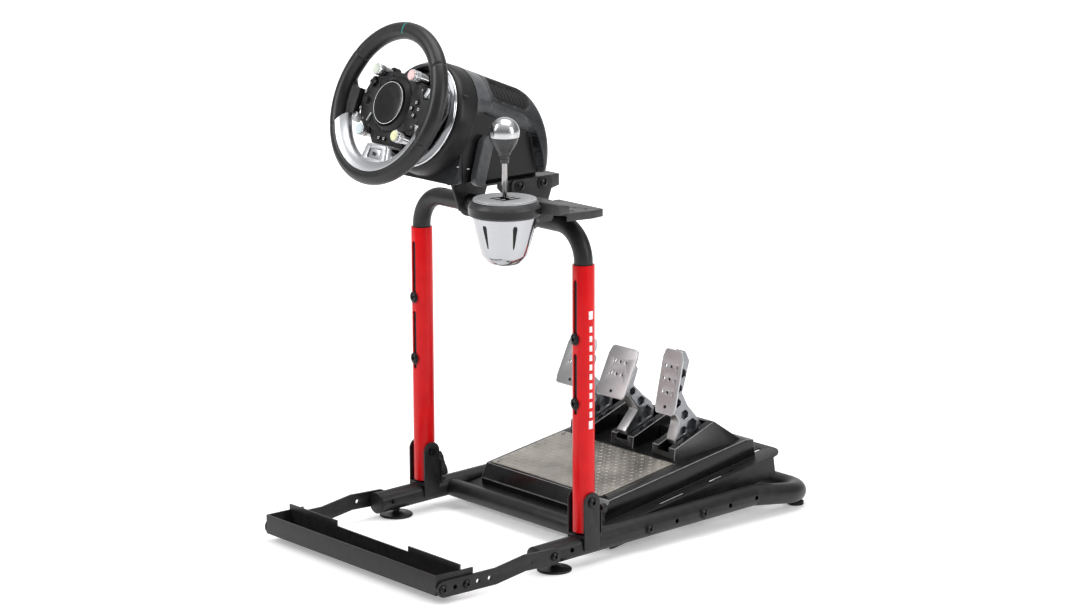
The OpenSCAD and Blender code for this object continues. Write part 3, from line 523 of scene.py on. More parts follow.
def cross_pad():
    b = WM @ T(-61, 33, 0)
    w, l = 2.7, 8.2
    pts = [(w, w), (l, w), (l, -w), (w, -w), (w, -l), (-w, -l), (-w, -w), (-l, -w), (-l, w), (-w, w), (-w, l), (w, l)]
    a = extr("pad_cross", pts, -14, -4.2, b, "black", "pad", (), 0.7, 3); d = lathe("pad_disc", [(0, -14.3), (9, -14.3), (9, -11.8), (0, -11.4)], b, "black", "pad", (), 40)
    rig.replaces(join("pad_body", [a, d]), "dpad")
cross_pad()
for s, nd in ((-1, "paddle_left"), (1, "paddle_right")):
    pts = [(40, -22), (58, -34), (88, -26), (101, 6), (97, 40), (84, 46), (66, 38), (40, 16)]
    pts = [(s * x, y) for x, y in rpoly(pts, 8)]
    if s < 0: pts = pts[::-1]
    plate(nd + "_blade", pts, [[(s * x, y) for x, y in rpoly([(62, -20), (82, -16), (90, 4), (87, 26), (78, 30), (64, 20)], 6)][::s]], -48, -44, WM, "darkmetal", BODY[nd], nd, 0.8)
lathe("shaft_body", [(0, -160), (11.9, -160), (11.9, -76.5), (29, -76.5), (30, -75.5), (30, -68.5), (33.5, -68), (35, -66.5), (35, -55.5), (33.5, -54), (30, -53.5), (30, -40.2), (0, -40.2)], WM, "steel", "steering", "wheel_shaft", 64)

# ------------------------------------------------------------ wheel base
M["band"] = plastic("satin_band", (0.075, 0.078, 0.083), 0.3, 1200, 0.2)
M["panel"] = plastic("panel_black", (0.004, 0.004, 0.0045), 0.3, 500, 0.1)
M["facet"] = plastic("facet_satin", (0.05, 0.052, 0.056), 0.34, 1200, 0.2)
M["vent"] = plastic("vent_black", (0.006, 0.006, 0.006), 0.6)
M["pillar"] = plastic("pillar_grey", (0.07, 0.072, 0.077), 0.4)
M["shell"] = plastic("shell_satin", (0.024, 0.025, 0.027), 0.33, 1200, 0.25)
CA, SA = math.cos(R(21.3)), math.sin(R(21.3))
def yz(e, f): return -239.6 + SA * e - CA * f, 793.6 + CA * e + SA * f
A_OUT = [(-160, 712), (-154.6, 721.9), (-131.5, 767.7), (-119, 792.1), (-109.6, 798.4), (-77.6, 789.4), (-15, 761.7), (0.7, 740.3), (19.5, 664.1), (20, 640), (-160, 640)]
A_IN = [(-150, 700), (-146.3, 735.5), (-133.7, 756.6), (-123.3, 770), (-110.9, 774.3), (-98.5, 773.8), (-34.1, 744.1), (0.7, 730.5), (5.9, 718.4), (16.3, 664.5), (16.6, 640), (-150, 640)]
def inside(poly, x, y):
    """distance inside the outline, negative outside"""
    c = False; best = 1e9; n = len(poly)
    for i in range(n):
        x0, y0 = poly[i]; x1, y1 = poly[(i + 1) % n]
        if (y0 > y) != (y1 > y) and x < (x1 - x0) * (y - y0) / (y1 - y0) + x0: c = not c
        dx, dy = x1 - x0, y1 - y0; t = max(0, min(1, ((x - x0) * dx + (y - y0) * dy) / (dx * dx + dy * dy)))
        best = min(best, math.hypot(x - x0 - dx * t, y - y0 - dy * t))
    return best if c else -best
def smax(a, b, k):
    h = max(k - abs(a - b), 0) / k; return max(a, b) + h * h * k / 4
WIN = [(-152, 49), (-158, 71), (-166, 74), (-244, 76), (-252, 68), (-240, 45), (-230, 38), (-164, 37), (-156, 41)]
def housing():
    fs_ = [-112 - 1.6 * i for i in range(88)]; fs_ += [fs_[-1] - 0.9 * (i + 1) for i in range(62)]
    na = 220; vs = []; tag = []
    def g(x, e, f):
        c = math.hypot(x, e) - 98.0
        if e < 0: c = min(c, abs(x) - 88.0)
        y, z = yz(e, f)
        v = smax(c, y - 31.0 - 0.05 * (z - 658.0), 16.0)
        return smax(v, 658.0 - z, 5.0)
    rows = []
    for f in fs_:
        ec = -24.0 * (-112 - f) / 199.6
        if g(0, ec, f) > -0.5: break
        row = []
        for k in range(na):
            a = 2 * math.pi * k / na; ca, sa = math.cos(a), math.sin(a); lo_, hi_ = 0.0, 160.0
            for _ in range(16):
                m = (lo_ + hi_) / 2
                if g(m * ca, ec + m * sa, f) < 0: lo_ = m
                else: hi_ = m
            x, e = lo_ * ca, ec + lo_ * sa; t = 0
            y, z = yz(e, f); s = 1 if x > 0 else -1
            if f < -113 and f > -146.5 and e > -5: t = 1
            if f > -147.5 and f < -144.5 and e > 0: x *= 0.985; e *= 0.985
            if abs(x) > 60:
                do = inside(A_OUT, y, z)
                if do > 0:
                    di = inside(A_IN, y, z); xs = abs(x)
                    if di > 0: xt = 82 - 2.6 * min(di, 1.6) / 1.6; t = 3
                    else:
                        q = do / (do - di); xa = xs - 1.8 * min(1, do / 1.2); xt = xa - q * max(0, xa - 82.0); t = 2
                    x = s * min(xs, xt)
            if e > 30 and t == 0 and -256 < f < -148:
                an = math.degrees(math.atan2(e, abs(x))); w_ = inside([(p, q * 1.71) for p, q in WIN], f, an * 1.71)
                if w_ > 0:
                    kk = 1 - 0.065 * min(w_, 2.2) / 2.2; x *= kk; e *= kk; t = 4
            row.append((x, e, f)); tag.append(t)
        rows.append(row)
    nr = len(rows)
    for r_ in rows: vs += r_
    F, ft = [], []
    for i in range(nr - 1):
        for k in range(na):
            l = (k + 1) % na; q = (i * na + k, i * na + l, (i + 1) * na + l, (i + 1) * na + k)
            F.append(q); ts = [tag[j] for j in q]; ft.append(max(set(ts), key=ts.count))
    vs.append((0, 0, -112)); c0 = len(vs) - 1
    ecl = sum(p[1] for p in rows[-1]) / na; vs.append((0, ecl, rows[-1][0][2] - 0.3)); c1 = len(vs) - 1
    for k in range(na):
        l = (k + 1) % na; F.append((c0, l, k)); ft.append(0); F.append((c1, (nr - 1) * na + k, (nr - 1) * na + l)); ft.append(0)
    me = bpy.data.meshes.new("housing"); me.from_pydata([WM @ Vector(v) for v in vs], [], F); me.validate()
    bm = bmesh.new(); bm.from_mesh(me); bmesh.ops.recalc_face_normals(bm, faces=bm.faces); bm.to_mesh(me); bm.free()
    mats = ["shell", "band", "facet", "panel", "vent"]
    o = bpy.data.objects.new("housing", me); bpy.context.collection.objects.link(o); me.materials.clear()
    for m in mats: me.materials.append(M[m])
    for p, t in zip(me.polygons, ft): p.material_index = t
    me.polygons.foreach_set("use_smooth", [True] * len(me.polygons))
    try: me.set_sharp_from_angle(angle=R(38))
    except Exception: pass
    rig.ride(o, "wheel_base"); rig.replaces(o, "base_shell", "base_cover")
    return o
housing()
def arcbar(nm, r0, r1, a0, a1, f0, f1, material, skew=0.0, n=14):
    vs, fs = [], []
    for i in range(n + 1):
        q = i / n; a = R(a0 + (a1 - a0) * q); sh = skew * q
        for r_, f_ in ((r0, f0), (r1, f0), (r1, f1), (r0, f1)): vs.append((r_ * math.cos(a), r_ * math.sin(a), f_ + sh))
    for i in range(n):
        for k in range(4): fs.append((4 * i + k, 4 * i + (k + 1) % 4, 4 * i + 4 + (k + 1) % 4, 4 * i + 4 + k))
    fs += [(0, 1, 2, 3), (4 * n, 4 * n + 1, 4 * n + 2, 4 * n + 3)]
    return mk(nm, vs, fs, WM, material, "wheel_base", (), 30)
gl = []
for s in (1, -1):
    for k in range(9):
        a0, a1 = (44, 72) if s > 0 else (136, 108)
        gl.append(arcbar("slat%d_%d" % (s, k), 91.0, 92.4, a0, a1, -164 - 9.0 * k, -168.6 - 9.0 * k, "vent", -4.0))
gl = join("vent_slats", gl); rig.replaces(gl, "vent_grille")
lathe("drum_body", [(12.5, -123.8), (83.8, -123.8), (83.8, -112.3), (96.2, -112.3), (97.4, -111), (97.6, -104), (96.6, -84), (95.6, -79), (93.6, -75.5), (91, -73.4), (89.6, -73.2), (76.2, -74.6), (12.5, -74.8)], WM, "black", "wheel_base", "base_drum", 128, True)
M["ringdark"] = metal("ring_mirror", (0.2, 0.205, 0.215), 0.12, s=0.03, span=0.04, amt=0.05)
lathe("chrome_ring", [(76.2, -73), (90.2, -73), (90.6, -71.6), (89.2, -67), (86.4, -62.2), (84.6, -61), (78, -61), (76.2, -62.4)], WM, "ringdark", "wheel_base", "front_ring", 128, True)
lathe("ring_lip", [(89.0, -72.3), (90.9, -72.3), (91.1, -71.4), (90.7, -70.2), (89.6, -69.2)], WM, "chrome", "wheel_base", (), 128, True)
tubew("drum_seam", 97.2, 97.75, -106.2, -105.4, WM, "vent", "wheel_base", (), 128, 0.1)
for s in (1, -1):
    a0 = 28 if s > 0 else 152
    # the black bar stands for the clip's slot and is painted shade of that opening; the lighter grey lip beside it is a
    # painted highlight
    arcbar("clip_dark%d" % s, 96.0, 97.6, a0 - s * 2.6, a0 + s * 0.6, -80, -90, "vent")
    arcbar("clip_edge%d" % s, 96.0, 98.0, a0 + s * 0.6, a0 + s * 1.2, -82, -92, "pillar")
    pts = [(-100.9, 736.9), (-113.4, 726.9), (-130.6, 665.6), (-129.6, 657.4), (-124.5, 651.9), (-111.1, 648.9), (-99.3, 688), (-90.7, 719.5)]
    extr("pillar%d" % s, rpoly(pts, 5), 80 if s > 0 else -95.5, 95.5 if s > 0 else -80, GM @ XP, "pillar", "wheel_base", (), 2.2, 4)
    for y, z in ((-163, 689), (-141, 683)):
        extr("led%d_%d" % (s, int(-y)), rrect(y - 2.6, z - 0.7, y + 2.6, z + 0.7, 0.6), s * 88 if s > 0 else -88.3, 88.3 if s > 0 else -88, GM @ XP, "white", "wheel_base", (), 0.1, 1)
# foot block
extr("foot_block", rrect(-62, -85, 62, 31, 4), 650, 659.5, GM, "black", "wheel_base", (), 1, 2)

M["plate_grey"] = plastic("plate_grey", (0.026, 0.026, 0.027), 0.38, 700, 0.4, 0.0002, sp=0.36)
# lighter glossy grey for the rounded edges of the pedal base: a painted highlight along its edges
M["edge"] = plastic("painted_edge_highlight", (0.16, 0.16, 0.163), 0.2, 500, 0.1, sp=0.5)
# ------------------------------------------------------------ softened metalwork
for nd, wd in (("wheel_plate", 1.0), ("upper_hoop", 0.8), ("shifter_bracket", 0.8), ("upright_left", 0.8), ("upright_right", 0.8),
               ("side_rail_left", 0.8), ("side_rail_right", 0.8), ("rear_tube", 0.5), ("cross_tube_front", 0.5), ("rail_end_caps", 0.8),
               ("fold_bracket_left", 0.7), ("fold_bracket_right", 0.7), ("chair_arm_left", 1.0), ("chair_arm_right", 1.0), ("chair_bar", 0.9),
               ("pedal_plate", 0.8), ("pedal_base", 1.3), ("pedal_pins", 0.4), ("shifter_gimbal", 0.5)):
    fine(nd, wd, 3, material="plate_grey" if nd in ("wheel_plate", "shifter_bracket") else None, edge="edge" if nd == "pedal_base" else None)
def screw(nm, x, y, z, d, r, h, body, washer=0, mtx=None, depth=14, sr=4.0):
    b = along((x, y, z), d) if mtx is None else mtx
    o = bolt(nm, b, r, h, "bolt", body, washer); s = cyl(nm + "_s", sr, -depth, 0.3, b, "bolt", body, (), 24); return join(nm, [o, s])
def rz(y): return 33.53 + 0.0265 * y
fb = []
for s in (-1, 1):
    for k in (0, 2): fb.append(screw("fbolt", s * 238, 135.7 + 64.4 * k, rz(135.7 + 64.4 * k), (s, 0, 0), 7.5, 4.5, "stand", 10.0, None, 43.8))
    fb.append(screw("fbolt", s * 241.5, 0, 111, (s, 0, 0), 9, 5, "stand", 0, None, 48)); fb.append(cyl("fnut", 8, 0, 4.4, along((s * 196.5, 0, 111), (-s, 0, 0)), "bolt", "stand", (), 6, 0.4))
    fb.append(screw("fbolt", s * 243.8, -86, 33, (s, 0, 0), 7.5, 4.5, "stand", 0, None, 50))
fb = join("frame_screws", fb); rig.replaces(fb, "frame_bolts")
cb = []
for s in (-1, 1):
    cb.append(screw("cbolt", s * 243.6, -277, 25, (s, 0, 0), 7.5, 4.5, "chair", 0, None, 13)); cb.append(screw("cbolt", s * 243.6, -327, 25, (s, 0, 0), 8, 4.5, "chair", 0, None, 10))
cb = join("chair_screws", cb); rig.replaces(cb, "chair_bar_bolts")
hb = []
for s in (-1, 1):
    for z in (283, 395): hb.append(screw("hbolt", s * 219, -19.6, z, (0, -1, 0), 8, 4.6, "upper", 10.5, None, 11.5))
hb = join("height_screws", hb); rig.replaces(hb, "height_bolts")
tb = []
for s in (-1, 1):
    for y in (-25.5, 25.5): tb.append(screw("tbolt", s * 85.6, y, 639.4, (s, 0, 0), 8, 4.5, "wheel_base", 11.5, None, 12))
tb = join("tilt_screws", tb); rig.replaces(tb, "tilt_bolts")
# levelling feet and rear pads
for nd, ps in (("levelling_feet", None), ("rear_feet", None)):
    pr = []
    for s in (-1, 1):
        if nd == "levelling_feet":
            b = GM @ T(s * 219, -66, 0)
            pr.append(lathe("lf", [(0, 0), (29.2, 0), (30, 0.8), (30, 2.6), (28.8, 4), (20, 4.6), (14, 5), (9, 7.2), (4.4, 7.6), (4.4, 26), (0, 26)], b, "black", "stand", (), 64))
            pr.append(extr("ln", circ(0, 0, 7.5, 6), 8.9, 12.3, b, "bolt", "stand", (), 0.4, 2))
        else: pr.append(lathe("rf", [(0, 0), (14.4, 0), (15, 0.8), (15, 6), (13, 7), (0, 7)], GM @ T(s * 201.4, 527.4, 0), "rubber", "stand", (), 48))
    o = join(nd + "_v", pr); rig.replaces(o, nd)
# lock knobs: a winged grip on a bright stem
for s, nd in ((-1, "lock_knob_left"), (1, "lock_knob_right")):
    b = GM @ T(s * 219, 38, 78) @ RY(s * 28)
    g1 = extr("kg", rpoly([(-5, -22), (5, -22), (7.5, -12), (5.4, 0), (7.5, 12), (5, 22), (-5, 22), (-7.5, 12), (-5.4, 0), (-7.5, -12)], 3), 0, 13, b @ RX(-90) @ T(0, 0, -7), "black", BODY[nd], (), 2.2, 4)
    g2 = lathe("kb", [(0, -12.5), (8, -12.5), (9.4, -9), (9.4, -6.5), (0, -6.5)], b @ RX(-90), "black", BODY[nd], (), 40)
    o = join(nd + "_grip", [g1, g2])
    st = cyl(nd + "_stem", 4, 19.4, 31, GM @ T(s * 219, 0, 78) @ RX(-90), "chrome", BODY[nd], (), 32)
    cp = cyl(nd + "_cap", 4.6, 5.6, 7.0, b @ RX(-90), "chrome", BODY[nd], (), 32, 0.6)
    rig.replaces(join(nd + "_v", [o, st, cp]), nd)
# plain white blocks down the outside of the right sleeve
def sleeve_block(z0, z1, a=13):
    vs, fs = [], []; n = 6
    for i in range(n + 1):
        q = R(-a + 2 * a * i / n)
        for r_, z in ((19.0, z0), (19.3, z0), (19.3, z1), (19.0, z1)): vs.append((219 + r_ * math.cos(q), r_ * math.sin(q), z))
    for i in range(n):
        for k in range(4): fs.append((4 * i + k, 4 * i + (k + 1) % 4, 4 * i + 4 + (k + 1) % 4, 4 * i + 4 + k))
    fs += [(0, 1, 2, 3), (4 * n, 4 * n + 1, 4 * n + 2, 4 * n + 3)]
    return mk("blk", vs, fs, GM, "white", "uprights", (), 30)
bl = [sleeve_block(430, 444), sleeve_block(240, 254)]
for k in range(10): bl.append(sleeve_block(260 + 16.4 * k, 270 + 16.4 * k, 9))
join("sleeve_blocks", bl)

# ------------------------------------------------------------ shifter
M["cupchrome"] = metal("cup_chrome", (0.43, 0.435, 0.45), 0.13, s=0.03, span=0.04, amt=0.05)
M["collar"] = plastic("collar_grey", (0.04, 0.04, 0.042), 0.4, 900, 0.3)
M["knoblow"] = plastic("knob_grey", (0.032, 0.032, 0.034), 0.36, 700, 0.2, sp=0.4)
M["rod"] = metal("rod_chrome", (0.33, 0.32, 0.315), 0.14, s=0.04, span=0.04, amt=0.05)
M["ball"] = metal("ball_satin", (0.5, 0.505, 0.515), 0.24, s=0.05, span=0.05, amt=0.06)
M["disc"] = metal("gate_silver", (0.5, 0.505, 0.515), 0.42, s=0.1, span=0.05, amt=0.04)
M["disc"].node_tree.nodes["Principled BSDF"].inputs["Metallic"].default_value = 0.4
lathe("cup_body", [(0, 536.2), (21, 536.2), (24.4, 537), (31, 543.2), (36.4, 549), (38.8, 552.8), (43.4, 571), (48.4, 592), (52.6, 610), (54.2, 616.7), (51.4, 616.7), (47, 599), (41, 573), (35.2, 553), (22.5, 540), (0, 540)], SM, "cupchrome", "upper", "shifter_cup", 96, False, 50)
for i in range(6):
    b = SM @ RZ(40 + 60 * i); vs = []; fs = []; m = 10
    # a narrow tapered slot that follows the cup's slope
    for j in range(m + 1):
        q = j / m; z = 567 + 40 * q; hw = (1.3 + 2.9 * q) * (1 if 0.04 < q < 0.96 else 0.6); rr = 38.8 + (z - 552.8) * 0.2435
        for dr in (-1.4, 0.16): vs += [(rr + dr, -hw, z), (rr + dr, hw, z)]
    for j in range(m):
        o_ = 4 * j; p_ = o_ + 4
        fs += [(o_, o_ + 1, p_ + 1, p_), (o_ + 2, o_ + 3, p_ + 3, p_ + 2), (o_, o_ + 2, p_ + 2, p_), (o_ + 1, o_ + 3, p_ + 3, p_ + 1)]
    fs += [(0, 1, 3, 2), (4 * m, 4 * m + 1, 4 * m + 3, 4 * m + 2)]
    mk("cup_slot%d" % i, vs, fs, b, "vent", "upper", (), 30)
lathe("collar_body", [(47.4, 617), (56, 617), (59.4, 618.6), (60.4, 620.4), (60.4, 633.2), (59.8, 634.8), (54.6, 642.2), (53.2, 643), (47.4, 643)], SM, "collar", "upper", "shifter_collar", 128, True, 28)
tubew("collar_band", 60.2, 60.6, 621, 632.6, SM, "gloss", "upper", (), 128, 0.15)
def gate_outline():
    o = []; a = 4.8
    def arc(cx, cy, a0, a1, n=6): return [(cx + a * math.cos(R(a0 + (a1 - a0) * i / n)), cy + a * math.sin(R(a0 + (a1 - a0) * i / n))) for i in range(n + 1)]
    o += arc(-13.5, 17.5, 180, 0) + [(-8.7, 4.8), (-4.8, 4.8)] + arc(0, 17.5, 180, 0) + [(4.8, 4.8), (8.7, 4.8)] + arc(13.5, 17.5, 180, 0)
    o += arc(13.5, -17.5, 0, -180) + [(8.7, -4.8), (4.8, -4.8)] + arc(0, -17.5, 0, -180) + [(-4.8, -4.8), (-8.7, -4.8)] + arc(-13.5, -17.5, 0, -180)
    return o
gp = plate("gate_disc", circ(0, 0, 52.6, 96), [gate_outline()] + [circ(45 * math.cos(R(q)), 45 * math.sin(R(q)), 2.6, 16) for q in (45, 135, 225, 315)], 644.9, 646, SM, "disc", "upper", (), 0.4, 2)
gl = plate("gate_low", circ(0, 0, 52.4, 96), [gate_outline()] + [circ(45 * math.cos(R(q)), 45 * math.sin(R(q)), 2.6, 16) for q in (45, 135, 225, 315)], 641, 644.8, SM, "vent", "upper", (), 0.2, 1)
gq = tubew("gate_rim", 45, 53, 642.9, 644.4, SM, "disc", "upper", (), 96, 0.3)
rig.replaces(join("gate_v", [gp, gl, gq]), "gate_plate")
for q in (45, 135, 225, 315):
    bolt("gate_screw%d" % q, SM @ T(45 * math.cos(R(q)), 45 * math.sin(R(q)), 644.2), 2.4, 1.4, "bolt", "upper", 0)
L0 = SM @ T(0, 0, 560)
lathe("lever_rod", [(0, -9), (5, -7.6), (8, -4.2), (9, 0), (8, 4.2), (5, 7.6), (3.6, 8.4), (3.6, 106), (4.6, 108), (4.6, 150), (4.6, 172), (0, 172)], L0, "rod", "lever", "shift_lever", 40)
K0 = SM @ T(0, 0, 756); KR = 25.6
top = [(KR * math.cos(R(q)), KR * math.sin(R(q))) for q in [-17 + 107 * i / 26 for i in range(27)]]
top[-1] = (0, KR); lathe("knob_top", [(0, -6)] + top, K0, "ball", "lever", (), 72)
kb = lathe("knob_low", [(0, -5), (24.3, -7.6), (23.9, -9.4), (22.4, -14), (19.6, -20), (16, -26), (12.5, -31), (10.4, -35), (9.8, -38), (8.6, -38.8), (7.6, -39), (7.6, -50), (7, -51), (4.7, -51), (0, -51)], K0, "knoblow", "lever", (), 72, False, 50)
kr = tubew("knob_ringv", 7.4, 8.6, -44.6, -43.4, K0, "darkmetal", "lever", (), 48, 0.3)
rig.replaces(join("knob_v", [bpy.data.objects["knob_top"], kb, kr]), "shift_knob")
# the arm that carries the gate collar
aw = [(146, -98, 641), (222, -98, 641), (253, -82, 637), (249, -56, 633), (180, -46, 634), (152, -66, 638)]
mk("shifter_arm", [(x, y, 619.2) for x, y, z in aw] + aw, [tuple(range(6))[::-1], (6, 7, 8, 11), (8, 9, 10, 11)] + [(i, (i + 1) % 6, 6 + (i + 1) % 6, 6 + i) for i in range(6)], GM, "collar", "upper", (), 30, 2.2, 3)

# ------------------------------------------------------------ pedals
def hexp(x, y, r, a=0): return [(x + r * math.cos(R(a + 60 * i)), y + r * math.sin(R(a + 60 * i))) for i in range(6)]
M["cast"] = metal("cast_bright", (0.27, 0.275, 0.29), 0.3, s=0.5, scale=500)
# darker copy of the cast metal for the web inside the arms' hexagonal pockets: painted shade
M["castdark"] = metal("cast_pocket_painted_shade", (0.13, 0.135, 0.145), 0.35, s=0.5, scale=500)
M["strip"] = metal("satin_strip", (0.5, 0.5, 0.5), 0.42, (1, 30, 1), 0.15, scale=120)
M["brushed_face"] = metal("brushed_face", (0.5, 0.5, 0.51), 0.36, (1, 60, 1), 0.2, scale=120)
base_arc = [(205 + 15 * math.cos(R(q)), 48 + 15 * math.sin(R(q))) for q in range(0, -181, -20)]
LOW = base_arc[::-1] + [(221, 54), (229, 84), (226, 100), (207, 120), (188, 146), (203, 172), (197, 186), (190.5, 206), (145, 140), (160, 143), (174, 130), (191, 96), (156, 66), (158, 56), (186, 47)]
TOP = base_arc[::-1] + [(222, 50), (236, 62), (243, 72), (235, 88), (215, 118), (205, 146), (231, 199), (224, 221), (210, 217), (170, 118), (181, 118), (192, 96), (177, 66), (176, 54), (188, 46)]
def arm(nd, c, prof, holes, ang):
    b = PM @ T(c, 0, 0) @ XP; body = BODY[nd]
    hs = [hexp(x, y, r, 12) for x, y, r in holes]
    a = plate(nd + "_side", rpoly(prof, 4), hs + [circ(205, 48, 5.2, 24)], -11, 11, b, "cast", body, (), 1.2, 3)
    # the web shows only through the hexagonal holes, and its darker copy of the cast metal paints shade into the
    # pockets
    w_ = plate(nd + "_web", rpoly([(x + (2 if x < 200 else -2), y) for x, y in prof], 3), [circ(205, 48, 5.2, 24)], -2.2, 2.2, b, "castdark", body, (), 0.3, 1)
    for o_ in (a, w_): pass
    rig.replaces(join(nd + "_v", [a, w_]), nd)
lowh = [(210, 85, 12.5), (200, 110, 8.8), (183, 134, 7.4), (172, 155, 8.6), (188, 178, 8.4), (190, 75, 7.2)]
toph = [(219, 79, 13), (205, 104, 9.0), (192, 130, 8.2), (199, 156, 7.6), (211, 181, 8.6), (197, 76, 7.6)]
def strip(nd, c, pts, t=2.2):
    """smooth flange along the driver's side of the arm"""
    n = len(pts); out = []
    for i, (x, y) in enumerate(pts):
        a_ = Vector(pts[max(0, i - 1)]); b_ = Vector(pts[min(n - 1, i + 1)]); d_ = (b_ - a_).normalized(); out.append((x + d_.y * t, y - d_.x * t))
    prof = list(pts) + out[::-1]
    return extr(nd + "_flange", prof, -11.4, 11.4, PM @ T(c, 0, 0) @ XP, "strip", BODY[nd], (), 0.6, 2)
SL = [(163, 140), (172, 131.5), (181, 116), (188.6, 102), (191, 96), (188, 91.5), (172, 79), (160, 69.5), (155.4, 65)]
ST = [(180.5, 118.5), (187, 107), (191.6, 98), (191.6, 94), (187, 84), (179, 70), (176.4, 63)]
strip("clutch_arm", -124, SL); strip("brake_arm", -11, SL); strip("throttle_arm", 100, ST)
arm("clutch_arm", -124, LOW, lowh, 55.6); arm("brake_arm", -11, LOW, lowh, 55.6); arm("throttle_arm", 100, TOP, toph, 68.8)
def pface(nd, c, w_, p, ang, ln, nr, nc, groups):
    b = PM @ T(c, p[0], p[1]) @ RX(ang); k = w_ / 2
    out = rpoly([(-k + 3, 0), (k - 3, 0), (k, 14), (k, ln - 16), (k - 5, ln), (-k + 5, ln), (-k, ln - 16), (-k, 14)], 8)
    holes = [circ(x, y, 3.0, 20) for x, y in groups]
    f_ = plate(nd + "_plate", out, holes, 0, 4, b, "brushed_face", BODY[nd], (), 1.3, 4)
    hs = [tubew("hr", 3.05, 3.9, 3.6, 4.3, b @ T(x, y, 0), "brushed_face", BODY[nd], (), 24, 0.3) for x, y in groups]
    bb = [bolt("fb", b @ T(0, y, 4), 3.0, 1.8, "bolt", BODY[nd], 0) for y in (ln * 0.12,)]
    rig.replaces(join(nd + "_v", [f_] + hs + bb), nd)
g2 = [(x, y) for x in (-15, 0, 15) for y in (44, 67)]
pface("clutch_face", -124, 76, (138.6, 135.5), 55.6, 95, 2, 3, g2); pface("brake_face", -11, 76, (138.6, 135.5), 55.6, 95, 2, 3, g2)
pface("throttle_face", 100, 52, (168.2, 114.5), 68.8, 118, 3, 3, [(x, y) for x in (-14, 0, 14) for y in (40, 64, 87)])
# tread plate with lozenges
M["tread"] = metal("tread_steel", (0.4, 0.375, 0.335), 0.33, s=0.2, span=0.08, amt=0.3, scale=14)
tp = plate("tread", rrect(-157, -37, 142, 138, 3), [], 36, 40.4, PM, "tread", "stand", (), 0.5, 2)
vs, fs = [], []
for i in range(27):
    for j in range(16):
        x = -150 + 10.8 * i; y = -30 + 10.8 * j
        if x > 137 or y > 133: continue
        a = R(45 if (i + j) % 2 else -45); ca, sa = math.cos(a), math.sin(a); b0 = len(vs)
        for u, v, h in ((5.6, 0, 0), (2.6, 2.0, 0), (-2.6, 2.0, 0), (-5.6, 0, 0), (-2.6, -2.0, 0), (2.6, -2.0, 0), (2.7, 0, 1.1), (-2.7, 0, 1.1)):
            vs.append((x + u * ca - v * sa, y + u * sa + v * ca, 40.3 + h))
        q = b0; fs += [(q, q + 1, q + 6), (q + 1, q + 2, q + 7, q + 6), (q + 2, q + 3, q + 7), (q + 3, q + 4, q + 7), (q + 4, q + 5, q + 6, q + 7), (q + 5, q, q + 6), (q + 5, q + 4, q + 3, q + 2, q + 1, q)]
lz = mk("lozenges", vs, fs, PM, "tread", "stand", (), 60)
hp = [cyl("tscrew", 3.6, 40.2, 41.4, PM @ T(x, v, 0), "steel", "stand", (), 24, 0.5) for x in (-148, 133) for v in (-28, 129)]
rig.replaces(join("tread_v", [tp, lz] + hp), "heel_plate")
# flared cheek beside the throttle pod and the ones by the others
def cheek(x0, x1, s=1):
    v = [(x0, 156, 58), (x0, 256, 78), (x0, 292, 36), (x0, 155, 37), (x1, 292, 36), (x1, 262, 37.5)]
    return mk("cheek", v, [(0, 3, 5, 1), (1, 5, 4), (1, 4, 2), (0, 1, 2, 3), (3, 2, 4, 5)], PM, "gloss", "stand", (), 25, 1.0, 2)
ck = [cheek(129.5, 158), cheek(-153.5, -165)]
join("pod_cheeks", ck)
# low ribs between the pods
rb = []
for x0, x1 in ((-93.5, -41.5), (19.5, 69.5)):
    rb.append(mk("rib", [(x0, 214, 37), (x1, 214, 37), (x1, 290, 37), (x0, 290, 37), (x0, 222, 60), (x1, 222, 60), (x1, 256, 66), (x0, 256, 66)], [(0, 1, 5, 4), (4, 5, 6, 7), (3, 7, 6, 2), (0, 4, 7, 3), (1, 2, 6, 5), (0, 3, 2, 1)], PM, "gloss", "stand", (), 25, 1.4, 2))
join("pod_ribs", rb)


# ------------------------------------------------------------ stage
bpy.ops.mesh.primitive_plane_add(size=30, location=(0, 0, 0)); floor = bpy.context.object; floor.name = "floor"
fm, fnt, fbs = mat("floor_white", (0.86, 0.86, 0.86), 0.6); vary(fnt, fbs, (0.86, 0.86, 0.86), 0.01, 3); fbs.inputs["Emission Color"].default_value = (1, 1, 1, 1); fbs.inputs["Emission Strength"].default_value = 0.6
# the floor glows: painted light whose strength rises from 0.3 at 0.8 m to 0.82 at 3.5 m from the origin, so it is
# dimmer near the rig
ftc = fnt.nodes.new("ShaderNodeTexCoord"); fln = fnt.nodes.new("ShaderNodeVectorMath"); fln.operation = "LENGTH"; fnt.links.new(ftc.outputs["Object"], fln.inputs[0])
fmr = fnt.nodes.new("ShaderNodeMapRange"); fmr.inputs["From Min"].default_value = 0.8; fmr.inputs["From Max"].default_value = 3.5; fmr.inputs["To Min"].default_value = 0.3; fmr.inputs["To Max"].default_value = 0.82
fnt.links.new(fln.outputs["Value"], fmr.inputs["Value"]); fnt.links.new(fmr.outputs["Result"], fbs.inputs["Emission Strength"]); floor.data.materials.append(fm)
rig.stage(floor)
w = bpy.data.worlds.new("studio"); bpy.context.scene.world = w; w.use_nodes = True
wn = w.node_tree; bgn = wn.nodes["Background"]
tcw = wn.nodes.new("ShaderNodeTexCoord")
dp = wn.nodes.new("ShaderNodeVectorMath"); dp.operation = "DOT_PRODUCT"; dp.inputs[1].default_value = (-0.7445, 0.6310, -0.2178)
wn.links.new(tcw.outputs["Generated"], dp.inputs[0])
ms = wn.nodes.new("ShaderNodeMapRange"); ms.interpolation_type = "SMOOTHSTEP"; ms.inputs["From Min"].default_value = 0.6; ms.inputs["From Max"].default_value = 0.93
ms.inputs["To Min"].default_value = 0.0; ms.inputs["To Max"].default_value = 0.8
wn.links.new(dp.outputs["Value"], ms.inputs["Value"])
sz = wn.nodes.new("ShaderNodeSeparateXYZ"); wn.links.new(tcw.outputs["Generated"], sz.inputs[0])
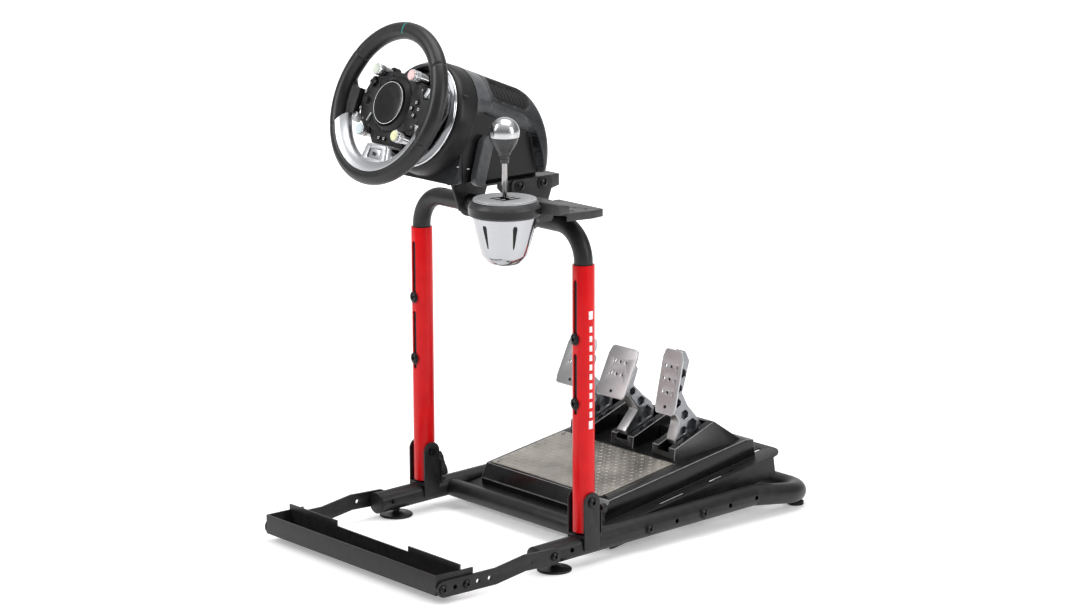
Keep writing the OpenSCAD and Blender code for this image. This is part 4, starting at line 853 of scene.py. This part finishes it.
mu = wn.nodes.new("ShaderNodeMapRange"); mu.interpolation_type = "SMOOTHSTEP"; mu.inputs["From Min"].default_value = 0.25; mu.inputs["From Max"].default_value = 0.9
mu.inputs["To Min"].default_value = 0.26; mu.inputs["To Max"].default_value = 0.8
wn.links.new(sz.outputs["Z"], mu.inputs["Value"])
ad = wn.nodes.new("ShaderNodeMath"); ad.operation = "ADD"; wn.links.new(ms.outputs["Result"], ad.inputs[0]); wn.links.new(mu.outputs["Result"], ad.inputs[1])
bgn.inputs[0].default_value = (1, 1, 1, 1); wn.links.new(ad.outputs[0], bgn.inputs[1])
def area(name, loc, target, size, power, sizey=None):
    l = bpy.data.lights.new(name, "AREA"); l.energy = power; l.shape = "RECTANGLE"; l.size = size; l.size_y = sizey or size
    o = bpy.data.objects.new(name, l); bpy.context.collection.objects.link(o); o.location = loc
    o.rotation_euler = (Vector(target) - Vector(loc)).to_track_quat("-Z", "Y").to_euler(); return o
area("key_left", (-1.2, -2.4, 2.3), (0, 0, 0.5), 0.9, 46, 1.8)
area("fill_right", (2.9, 0.9, 1.7), (0, 0, 0.5), 0.8, 36, 2.0)
area("top", (0.2, 0.2, 2.9), (0, 0, 0.4), 2.0, 44)

az, el, ro = R(49.719), R(12.582), R(-0.206)
d = Vector((-math.sin(az) * math.cos(el), math.cos(az) * math.cos(el), -math.sin(el)))
r = Vector((math.cos(az), math.sin(az), 0)); u = r.cross(d)
r2 = r * math.cos(ro) + u * math.sin(ro); u2 = -r * math.sin(ro) + u * math.cos(ro)
cam = bpy.data.cameras.new("cam"); cam.lens = 105.70; cam.sensor_width = 36; cam.clip_end = 100
co = bpy.data.objects.new("camera", cam); bpy.context.collection.objects.link(co)
rot = Matrix((r2, u2, -d)).transposed().to_4x4()
co.matrix_world = Matrix.Translation(Vector((4.142064, -3.420632 - YM / 1000, 1.615246))) @ rot
bpy.context.scene.camera = co
bpy.context.scene.view_settings.view_transform = "Standard"

lo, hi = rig.bounds()
json.dump({"cad": [list(cad_lo), list(cad_hi)], "visual": [list(lo), list(hi)]}, open("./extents.json", "w"))
